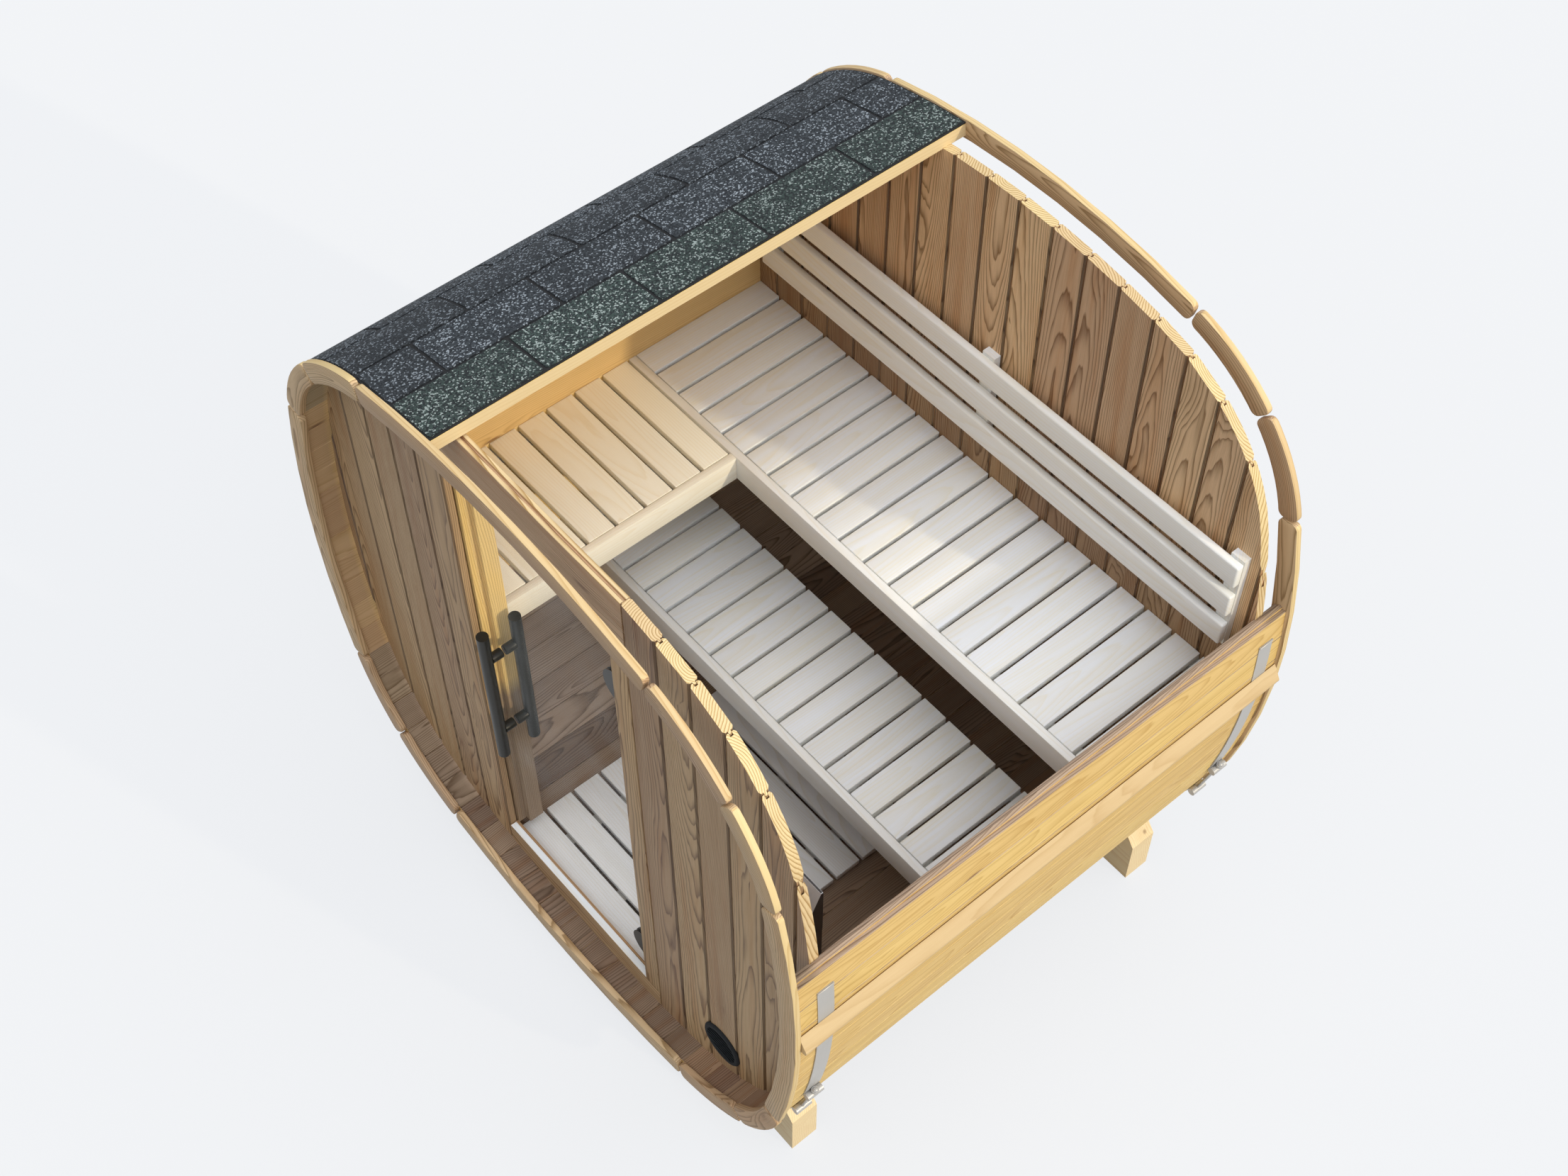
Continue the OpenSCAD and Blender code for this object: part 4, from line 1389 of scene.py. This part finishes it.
@dataclass
class ShingleRoof:
    """Granulated shingle tabs laid in courses over the roof and the upper left.

    Attributes:
        outline: Shape of the barrel.
        first: Length along the roof from its middle to the first course.
        last: Length to the end of the last course.
        course: Width of a course.
        tab: Length of a tab along Y.
        joint: Y of one joint of the first course.
        gap: Gap between tabs.
        depth: Thickness of a tab.
        inset: Inset of the felt that carries the tabs.
        half_length: Half of the roof's length.
        corner: Rounding of the tabs' corners.
        bends: Number of strips in which a tab follows the roof.
        least: Narrowest course, and shortest tab, that is laid.
    """

    outline: Outline
    first: float = 0.2545
    last: float = 1.690
    course: float = 0.163
    tab: float = 0.335
    joint: float = -0.156
    gap: float = 0.009
    depth: float = 0.0035
    inset: float = 0.0072
    half_length: float = 0.8155
    corner: float = 0.006
    bends: int = 5
    least: float = 0.02

    def build(self) -> None:
        """Make the tabs and dress the felt below them."""
        slate = ShingleFinish("slate_shingle").material()
        green = ShingleFinish("green_shingle", (0.010, 0.016, 0.018), (0.034, 0.055, 0.050),
                              (0.30, 0.355, 0.34)).material()
        dress(PaintFinish("shingle_felt", (0.012, 0.013, 0.015), 0.85).material(), "shingle_roof")
        edge = Boards("first_shingle_course")
        rest = Boards("shingle_courses")
        number, start = 0, self.first
        while start < self.last - self.least:
            end = min(start + self.course, self.last)
            self.lay(edge if number == 0 else rest, start, end, self.joint + (number % 2) * self.tab / 2.0)
            number, start = number + 1, end
        edge.piece(green, "shingle", "frame")
        rest.piece(slate, "shingle", "frame")

    def lay(self, boards: Boards, start: float, end: float, joint: float) -> None:
        """Lay the tabs of one course.

        Args:
            boards: Set that they join.
            start: Length along the roof to the upper edge.
            end: Length to the lower edge.
            joint: Y of one joint.
        """
        low = joint - self.tab * math.ceil((joint + self.half_length) / self.tab)
        while low < self.half_length:
            first, last = max(low, -self.half_length), min(low + self.tab, self.half_length)
            if last - first > self.least:
                self.plate(boards, (start, end), (first + self.gap / 2.0, last - self.gap / 2.0))
            low += self.tab

    def plate(self, boards: Boards, runs: Span, spans: Span) -> None:
        """Bend one tab over the barrel.

        Args:
            boards: Set that it joins.
            runs: Lengths along the roof to its upper and lower edge.
            spans: Lowest and highest Y.
        """
        low = Vector((runs[0] + self.gap / 2.0, spans[0], 0.0))
        high = Vector((runs[1] - self.gap / 2.0, spans[1], self.depth))
        upright = [e for e in edges_at(block(boards.bm, low, high))
                   if abs(e.verts[1].co.z - e.verts[0].co.z) > 0.5 * self.depth]
        made = boards.ease(upright, self.corner, 2)
        step = (high.x - low.x) / self.bends
        tab = boards.slices(made["verts"][0], 0, [low.x + step * part for part in range(1, self.bends)])
        boards.mark(tab[0], lambda co: co.copy())
        for vert in tab:
            turn = self.outline.turn_at(self.outline.run_to(90.0, self.inset) + vert.co.x, self.inset)
            spot = self.outline.spot(turn, self.inset - vert.co.z)
            vert.co = Vector((spot.x, vert.co.y, spot.z))


@dataclass
class GlassDoor:
    """Frameless glass door with a tube handle on each side.

    Attributes:
        handle_x: X of the handle.
        standoffs: Heights of the handle's standoffs.
        faces: Y of the two faces of the glass.
        radius: Radius of a standoff.
        washer: Radius of the washers.
        sleeve: Radius of the sleeves.
        play: Gap between the glass and a washer.
        pad: Distance from the glass to a sleeve.
        reach: Distance from the glass to a sleeve's far end.
        rim: Rounding of the washers' rims.
        chamfer: Width and length of the sleeves' chamfers.
    """

    handle_x: float = -0.298
    standoffs: Span = (0.810, 1.138)
    faces: Span = (-0.710, -0.702)
    radius: float = 0.011
    washer: float = 0.0136
    sleeve: float = 0.0145
    play: float = 0.0002
    pad: float = 0.0014
    reach: float = 0.0330
    rim: float = 0.0004
    chamfer: Span = (0.0006, 0.0008)

    def build(self) -> None:
        """Dress the door and add the sleeves and washers between its handles and the glass."""
        metal = PaintFinish("anthracite_coat", (0.017, 0.0165, 0.014), 0.38, gloss=0.28).material()
        rubber = PaintFinish("washer_rubber", (0.008, 0.008, 0.008), 0.8).material()
        dress(GlassFinish("door_pane").material(), "door_glass")
        dress(metal, "door_handle", "door_hinge_leaves", "jamb_hinge_plates")
        washers, sleeves = bmesh.new(), bmesh.new()
        for height in self.standoffs:
            for face, way in zip(self.faces, (-1.0, 1.0)):
                centre = Vector((self.handle_x, face, height))
                near, middle, far = way * self.play, way * self.pad / 2.0, way * self.pad
                rim = self.washer - self.rim
                turned_ring(washers, [(self.radius, near), (rim, near), (self.washer, middle), (rim, far),
                                      (self.radius, far)], centre)
                end = way * self.reach
                wide, long = self.chamfer
                turned_ring(sleeves, [(self.radius, far), (self.sleeve - wide, far),
                                      (self.sleeve, far + way * long), (self.sleeve, end),
                                      (self.radius, end)], centre)
        for bm, name, skin, slot in ((washers, "handle_washers", rubber, "black_plastic"),
                                     (sleeves, "handle_sleeves", metal, "dark_metal")):
            bmesh.ops.recalc_face_normals(bm, faces=bm.faces[:])
            settle(bm, name, skin, slot, "door")


@dataclass
class Vent:
    """Round louvred vent cover on the front wall.

    Attributes:
        centre: Middle of its back face.
        radius: Radius of the rim.
        throat: Radius of the opening inside the rim.
        depth: How far the rim stands out.
        bevel: Width of the rim's bevel.
        plate: Thickness of the plate behind the louvres.
        pitch: Distance from louvre to louvre.
        blade: Thickness and width of a louvre.
        tilt: Tilt of the louvres in degrees.
    """

    centre: Place = (0.630, -0.748, 0.346)
    radius: float = 0.072
    throat: float = 0.058
    depth: float = 0.008
    bevel: float = 0.004
    plate: float = 0.0015
    pitch: float = 0.0158
    blade: Span = (0.002, 0.012)
    tilt: float = 28.0

    def build(self) -> None:
        """Make the rim and the louvres."""
        bm = bmesh.new()
        middle = Vector(self.centre)
        turned_ring(bm, [(self.throat, 0.0), (self.radius, 0.0), (self.radius, -0.5 * self.depth),
                         (self.radius - self.bevel, -self.depth), (self.throat, -self.depth)], middle, 48)
        hub, edge = 0.001, self.throat + 0.001
        turned_ring(bm, [(hub, 0.0), (edge, 0.0), (edge, -self.plate), (hub, -self.plate)], middle, 48)
        turn = Matrix.Rotation(math.radians(self.tilt), 3, "X")
        for number in range(-3, 4):
            height = self.pitch * number
            half = math.sqrt(self.throat ** 2 - height ** 2)
            verts = bmesh.ops.create_cube(bm, size=1.0)["verts"]
            bmesh.ops.scale(bm, vec=(2.0 * half, *self.blade), verts=verts)
            bmesh.ops.rotate(bm, cent=(0.0, 0.0, 0.0), matrix=turn, verts=verts)
            bmesh.ops.translate(bm, vec=middle + Vector((0.0, -0.5 * self.depth, height)), verts=verts)
        bmesh.ops.recalc_face_normals(bm, faces=bm.faces[:])
        skin = PaintFinish("vent_plastic", (0.022, 0.024, 0.026), 0.85, gloss=0.2).material()
        settle(bm, "vent_louvres", skin, "black_plastic", "frame", "vent_cover")


@dataclass
class Battens:
    """Rounded three-sided strip along each side of the barrel.

    Attributes:
        finish: Finish of the strips.
        section: Distance from the middle and height of each corner of the section.
        half_length: Half of their length.
        nose: Radius of their outer corners.
    """

    finish: WoodFinish
    section: tuple[Span, ...] = ((1.0206, 1.111), (1.0475, 1.065), (1.0440, 1.054), (1.0206, 1.048))
    half_length: float = 0.817
    nose: float = 0.005

    def build(self) -> None:
        """Make both strips."""
        material = self.finish.material()
        for side, node in ((1.0, "right_batten"), (-1.0, "left_batten")):
            boards = Boards(f"{node}_strip")
            bm = boards.bm
            corners = [(side * x, -self.half_length, z) for x, z in self.section]
            extrude(bm, corners, (0.0, 2.0 * self.half_length, 0.0))
            bmesh.ops.recalc_face_normals(bm, faces=bm.faces[:])
            long = [e for e in bm.edges if abs(e.verts[1].co.y - e.verts[0].co.y) > self.half_length
                    and abs(e.verts[0].co.x) > self.section[0][0] + 0.001]
            made = boards.ease(long, self.nose, 4)
            boards.mark(made["verts"][0], lambda co: Vector((co.y, co.z, co.x)))
            boards.piece(material, "cradle_wood", "frame", node)


@dataclass
class StrapEnds:
    """Doubled lower ends and folded upper ends of the steel straps.

    Attributes:
        outline: Shape of the barrel.
        finish: Finish of the straps.
        middles: Y of the middle of each strap.
        width: Width of a strap.
        inset: Inset of a strap's outer face.
        depth: Thickness of a doubled end.
        heights: Lowest and highest point of the doubled ends.
        fold: Height of the folded upper end on the right.
        fold_height: How far the fold reaches down.
        bends: Number of pieces in which a strip follows the barrel.
    """

    outline: Outline
    finish: BrushedFinish
    middles: Span = (-0.734, 0.752)
    width: float = 0.050
    inset: float = 0.0097
    depth: float = 0.0012
    heights: Span = (0.645, 0.985)
    fold: float = 1.253
    fold_height: float = 0.005
    bends: int = 10

    def build(self) -> None:
        """Make the doubled ends on both sides and the folds on the right."""
        boards = Boards("strap_ends")
        for middle in self.middles:
            for side in (1.0, -1.0):
                self.strip(boards, middle, side, self.heights, self.depth)
            self.strip(boards, middle, 1.0, (self.fold - self.fold_height, self.fold), 2.5 * self.depth)
        boards.piece(self.finish.material(), "band_steel", "frame")

    def strip(self, boards: Boards, middle: float, side: float, heights: Span, depth: float) -> None:
        """Bend one strip over a strap.

        Args:
            boards: Set that it joins.
            middle: Y of its middle.
            side: 1 on the right, -1 on the left.
            heights: Its lowest and highest point.
            depth: Its thickness.
        """
        low = Vector((0.0, middle - self.width / 2.0, heights[0]))
        high = Vector((depth, middle + self.width / 2.0, heights[1]))
        made = boards.ease(edges_at(block(boards.bm, low, high)), 0.3 * depth, 1)
        step = (heights[1] - heights[0]) / self.bends
        levels = [heights[0] + step * part for part in range(1, self.bends)]
        plate = boards.slices(made["verts"][0], 2, levels)
        boards.mark(plate[0], lambda co: co.copy())
        for vert in plate:
            reach = self.outline.reach(vert.co.z - self.outline.axis_h, self.inset)
            vert.co.x = side * (reach + vert.co.x)


@dataclass
class Heater:
    """Black wall heater with a pale slope that throws the warm air forward.

    Attributes:
        plate: Thickness of the cheeks and of the cap.
        slope: Depth of the slope at its lower end.
        lip: Depth of the slope at its top.
        cap_in: How far the cap lies inside the slope's ends, and inside its lip.
        edge: Chamfer of the edges.
    """

    plate: float = 0.002
    slope: float = 0.089
    lip: float = 0.007
    cap_in: Span = (0.002, 0.001)
    edge: float = 0.0004

    def build(self) -> None:
        """Dress the housing and the slope, and add its cheeks and cap."""
        coat = PaintFinish("heater_coat", (0.060, 0.054, 0.053), 0.5).material()
        dress(coat, "heater_body")
        dress(PaintFinish("heater_slope_coat", (0.92, 0.92, 0.94), 0.4).material(), "heater_deflector")
        low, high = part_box("heater_deflector")
        bm = bmesh.new()
        cheek = ((high.y - self.slope, low.z), (high.y, low.z), (high.y, high.z), (high.y - self.lip, high.z))
        for start in (low.x - self.plate, high.x):
            extrude(bm, [(start, y, z) for y, z in cheek], (self.plate, 0.0, 0.0))
        ends, sides = self.cap_in
        block(bm, Vector((low.x + ends, high.y - self.lip + sides, high.z)),
              Vector((high.x - ends, high.y - sides, high.z + self.plate)))
        bmesh.ops.recalc_face_normals(bm, faces=bm.faces[:])
        bmesh.ops.bevel(bm, geom=bm.edges[:], offset=self.edge, segments=1, profile=0.5, affect="EDGES",
                        material=-1)
        settle(bm, "heater_cheeks", coat, "heater_dark", "frame")


@dataclass
class Studio:
    """Plain pale studio with the camera of the picture.

    Attributes:
        backdrop: Colour behind the object.
        sun_turn: Direction of the main lamp in degrees, from +X towards +Y.
        sun_height: Height of the main lamp in degrees.
        sun_power: Strength of the main lamp.
        low_sky: Light from the horizon.
        high_sky: Light from the brightest part of the sky.
        sky_tilt: How far that part lies from overhead towards +X, in degrees.
        eye: Place of the camera.
        yaw: Turn of the camera in degrees, from +Y towards -X.
        dip: How far the camera looks down, in degrees.
        lens: Focal length on a sensor 36 mm wide.
        sun_width: Width of the main lamp as an angle in degrees.
        sun_colour: Colour of the main lamp.
        glow: Share of the backdrop's colour in the floor where it is seen.
    """

    backdrop: Colour = (0.896, 0.913, 0.939)
    sun_turn: float = 16.0
    sun_height: float = 22.0
    sun_power: float = 1.30
    low_sky: Colour = (0.10, 0.102, 0.106)
    high_sky: Colour = (2.20, 2.26, 2.36)
    sky_tilt: float = 20.0
    eye: Place = (2.630, -2.2284, 5.699)
    yaw: float = 49.7
    dip: float = 53.108
    lens: float = 49.16
    sun_width: float = 1.6
    sun_colour: Colour = (1.0, 0.88, 0.64)
    glow: float = 0.82

    def build(self) -> None:
        """Set the camera, the lamp, the world and the floor."""
        scene = bpy.context.scene
        scene.view_settings.view_transform = "Standard"
        camera = bpy.data.objects.new("camera", bpy.data.cameras.new("camera"))
        camera.data.sensor_width = 36.0
        camera.data.lens = self.lens
        camera.location = self.eye
        camera.rotation_euler = (math.radians(90.0 - self.dip), 0.0, math.radians(self.yaw))
        scene.collection.objects.link(camera)
        scene.camera = camera
        lamp = bpy.data.objects.new("sun", bpy.data.lights.new("sun", "SUN"))
        lamp.data.energy = self.sun_power
        lamp.data.angle = math.radians(self.sun_width)
        lamp.data.color = self.sun_colour
        turn, height = math.radians(self.sun_turn), math.radians(self.sun_height)
        level = math.cos(height)
        to_sun = Vector((level * math.cos(turn), level * math.sin(turn), math.sin(height)))
        lamp.rotation_euler = to_sun.to_track_quat("Z", "Y").to_euler()
        scene.collection.objects.link(lamp)
        self.world(scene)
        self.floor(scene)

    def world(self, scene: bpy.types.Scene) -> None:
        """Light the scene from all round, with the backdrop's colour where it is seen."""
        world = bpy.data.worlds.new("studio")
        world.use_nodes = True
        nodes, links = world.node_tree.nodes, world.node_tree.links
        nodes.clear()
        out = nodes.new("ShaderNodeOutputWorld")
        blend = nodes.new("ShaderNodeMixShader")
        way = nodes.new("ShaderNodeVectorMath")
        way.operation = "DOT_PRODUCT"
        tilt = math.radians(self.sky_tilt)
        way.inputs[1].default_value = (math.sin(tilt), 0.0, math.cos(tilt))
        links.new(nodes.new("ShaderNodeTexCoord").outputs["Generated"], way.inputs[0])
        dome = nodes.new("ShaderNodeMix")
        dome.data_type = "RGBA"
        dome.inputs[6].default_value = (*self.low_sky, 1.0)
        dome.inputs[7].default_value = (*self.high_sky, 1.0)
        rise, steep = nodes.new("ShaderNodeMath"), nodes.new("ShaderNodeMath")
        rise.operation, steep.operation = "MAXIMUM", "POWER"
        rise.inputs[1].default_value, steep.inputs[1].default_value = 0.0, 2.0
        links.new(way.outputs["Value"], rise.inputs[0])
        links.new(rise.outputs[0], steep.inputs[0])
        links.new(steep.outputs[0], dome.inputs[0])
        light, backdrop = nodes.new("ShaderNodeBackground"), nodes.new("ShaderNodeBackground")
        links.new(dome.outputs[2], light.inputs["Color"])
        backdrop.inputs["Color"].default_value = (*self.backdrop, 1.0)
        links.new(light.outputs[0], blend.inputs[1])
        links.new(backdrop.outputs[0], blend.inputs[2])
        links.new(seen_directly(nodes, links), blend.inputs[0])
        links.new(blend.outputs[0], out.inputs[0])
        scene.world = world

    def floor(self, scene: bpy.types.Scene) -> None:
        """Make the pale floor, which keeps the object's shadow."""
        bm = bmesh.new()
        bmesh.ops.create_grid(bm, x_segments=1, y_segments=1, size=30.0)
        mesh = bpy.data.meshes.new("studio_floor")
        bm.to_mesh(mesh)
        bm.free()
        shader = Shader("studio_floor")
        nodes, links = shader.nodes, shader.links
        seen = seen_directly(nodes, links)
        paint = shader.mix(seen, (0.14, 0.14, 0.143), (0.70, 0.70, 0.70))
        shader.feed(shader.skin.inputs["Base Color"], paint)
        shader.feed(shader.skin.inputs["Roughness"], 0.9)
        glow = shader.add("ShaderNodeEmission", {"Color": self.backdrop, "Strength": 1.0})
        share = shader.sum("MULTIPLY", seen, self.glow)
        blend = shader.add("ShaderNodeMixShader", {0: share, 1: shader.skin.outputs[0], 2: glow.outputs[0]})
        links.new(blend.outputs[0], nodes["Material Output"].inputs["Surface"])
        mesh.materials.append(shader.material)
        floor = bpy.data.objects.new("studio_floor", mesh)
        scene.collection.objects.link(floor)


def seen_directly(nodes: bpy.types.Nodes, links: bpy.types.NodeLinks) -> Socket:
    """Tell rays that look at a surface from rays that light it.

    Args:
        nodes: Nodes of the tree.
        links: Links of the tree.

    Returns:
        1 for camera, glossy and transmitted rays.
    """
    path = nodes.new("ShaderNodeLightPath")
    first, second = nodes.new("ShaderNodeMath"), nodes.new("ShaderNodeMath")
    first.operation = second.operation = "MAXIMUM"
    links.new(path.outputs["Is Camera Ray"], first.inputs[0])
    links.new(path.outputs["Is Glossy Ray"], first.inputs[1])
    links.new(first.outputs[0], second.inputs[0])
    links.new(path.outputs["Is Transmission Ray"], second.inputs[1])
    return second.outputs[0]


def dress_fittings() -> None:
    """Dress the cradles, bands and rods."""
    cradle = WoodFinish("cradle_pine", (0.90, 0.74, 0.46), (0.70, 0.47, 0.22), figure=0.5, spread=0.05)
    dress(cradle.material(Grain.ALONG_X), "front_cradle", "rear_cradle")
    dress(BrushedFinish("band_steel").material(), "steel_bands", "tension_rods")


def lining_finishes() -> dict[str, WoodFinish]:
    """Mix the finishes of the barrel's inner faces: the left wall keeps the stave wood's colour, and the other
    stretches get darker copies of it as painted shade, darkest at the bottom.

    Returns:
        The finish of each stretch of staves by the node that it stands for.
    """
    warm = WoodFinish("warm_lining", (0.84, 0.59, 0.25), (0.58, 0.36, 0.12), spread=0.10,
                      ends=(0.75, 0.73, 0.95))
    # Painted shade: darker copies of the stave wood for the shaded stretches
    brown_shade = WoodFinish("brown_shade_lining", (0.54, 0.40, 0.28), (0.22, 0.14, 0.08), figure=0.9, spread=0.16,
                       ends=(0.74, 0.74, 0.70), year=0.0055)
    vault_shade = WoodFinish("vault_shade_lining", (0.74, 0.53, 0.27), (0.46, 0.29, 0.115), spread=0.10,
                       ends=(0.64, 0.70, 0.86))
    dim_shade = WoodFinish("dim_shade_lining", (0.29, 0.20, 0.135), (0.11, 0.066, 0.038), figure=0.9, spread=0.20,
                     year=0.0055, rust=0.6)
    russet_shade = replace(dim_shade, name="russet_shade_lining", pale=(0.37, 0.232, 0.145), deep=(0.145, 0.079, 0.044))
    return {"left_staves": warm, "top_left_staves": vault_shade, "roof_staves": vault_shade, "right_staves": brown_shade,
            "bottom_left_staves": brown_shade, "bottom_staves": dim_shade, "bottom_right_staves": russet_shade}


def barrel(outline: Outline) -> tuple[BarrelStaves, TrimRings]:
    """Lay out the staves and the trim rings in their finishes.

    Args:
        outline: Shape of the barrel.

    Returns:
        The staves and the rings, ready to build.
    """
    stave = WoodFinish("stave_spruce", (0.86, 0.62, 0.24), (0.57, 0.34, 0.08), figure=0.6, fibre=0.6,
                       streak=0.8, knotty=0.5, spread=0.07)
    cut = WoodFinish("cut_spruce", (0.78, 0.61, 0.36), (0.66, 0.46, 0.22), figure=0.4, spread=0.04,
                     knotty=0.0)
    ring = WoodFinish("ring_spruce", (0.70, 0.50, 0.295), (0.34, 0.21, 0.10), figure=1.0, spread=0.08,
                      year=0.0050, rust=0.3)
    # Lighter outer ring edges: a painted highlight
    edge = WoodFinish("ring_edge_light_spruce", (0.80, 0.61, 0.32), (0.58, 0.38, 0.15), figure=0.7, spread=0.06,
                      knotty=0.0)
    return BarrelStaves(outline, stave, lining_finishes(), cut), TrimRings(outline, ring, edge)


def end_walls(outline: Outline) -> EndWalls:
    """Lay out the end walls in their finishes.

    Args:
        outline: Shape of the barrel.

    Returns:
        The walls, ready to build.
    """
    front = WoodFinish("front_spruce", (0.54, 0.365, 0.20), (0.17, 0.09, 0.04), figure=0.85, fibre=0.6,
                       spread=0.14, knotty=0.4, year=0.0046, wander=0.035, rust=0.45)
    # Painted light: the back wall and the header get a lighter copy of the front wall's wood
    back = replace(front, name="back_lit_spruce", pale=(0.76, 0.525, 0.31), deep=(0.26, 0.14, 0.06))
    end = WoodFinish("end_grain_spruce", (0.84, 0.66, 0.37), (0.42, 0.25, 0.08), figure=1.0, spread=0.08,
                     knotty=0.0, year=0.0065, streak=0.3)
    # Left jamb: golden as painted sunlight, with painted shade below 0.9 m
    jamb = WoodFinish("jamb_light_spruce", (0.95, 0.69, 0.275), (0.62, 0.39, 0.125), figure=0.9, spread=0.05,
                      year=0.0055, foot_shade=(0.40, 0.39, 0.60), foot_shade_top=0.90)
    # Painted shade on the back wall's inner face below the backrest
    seat_shade = replace(back, name="seat_shade_spruce", foot_shade=(0.50, 0.47, 0.44), foot_shade_top=1.20)
    # Darker chamfers: painted shade in the V-grooves, with some weathering
    joint = replace(front, name="joint_shade_spruce", pale=(0.24, 0.158, 0.086), deep=(0.085, 0.046, 0.02))
    return EndWalls(outline, front, back, end, jamb, seat_shade, joint)


def benches() -> Benches:
    """Lay out the benches in their finishes."""
    bench = WoodFinish("bench_aspen", (0.88, 0.90, 0.92), (0.82, 0.74, 0.52), figure=0.28, fibre=0.35,
                       streak=1.0, knotty=0.0, spread=0.03, roughness=0.7, gloss=0.2)
    rail = WoodFinish("rail_aspen", (0.94, 0.945, 0.93), (0.85, 0.79, 0.62), figure=0.3, fibre=0.35,
                      streak=0.8, knotty=0.0, spread=0.03, roughness=0.7, gloss=0.2)
    side = WoodFinish("side_bench_aspen", (0.96, 0.915, 0.79), (0.85, 0.74, 0.53), figure=0.4, fibre=0.4,
                      knotty=0.0, spread=0.04, roughness=0.7, gloss=0.2)
    floor = WoodFinish("floor_aspen", (0.86, 0.86, 0.86), (0.74, 0.68, 0.56), figure=0.45, knotty=0.08,
                       spread=0.05)
    bearer = WoodFinish("bearer_aspen", (0.40, 0.385, 0.35), (0.30, 0.275, 0.23), knotty=0.0)
    return Benches(bench, side, floor, rail, bearer)


def main() -> None:
    """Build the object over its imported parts."""
    logging.basicConfig(level=logging.INFO, format="%(message)s")
    outline = Outline()
    batten = WoodFinish("batten_pine", (0.71, 0.535, 0.29), (0.57, 0.39, 0.18), figure=0.5, streak=0.8,
                        knotty=0.5, spread=0.05)
    staves, rings = barrel(outline)
    straps = StrapEnds(outline, BrushedFinish("strap_steel"))
    assemblies = (Studio(), staves, rings, end_walls(outline), benches(), ShingleRoof(outline),
                  GlassDoor(), Vent(), Heater(), Battens(batten), straps)
    for assembly in assemblies:
        assembly.build()
    dress_fittings()


if __name__ == "__main__":
    main()
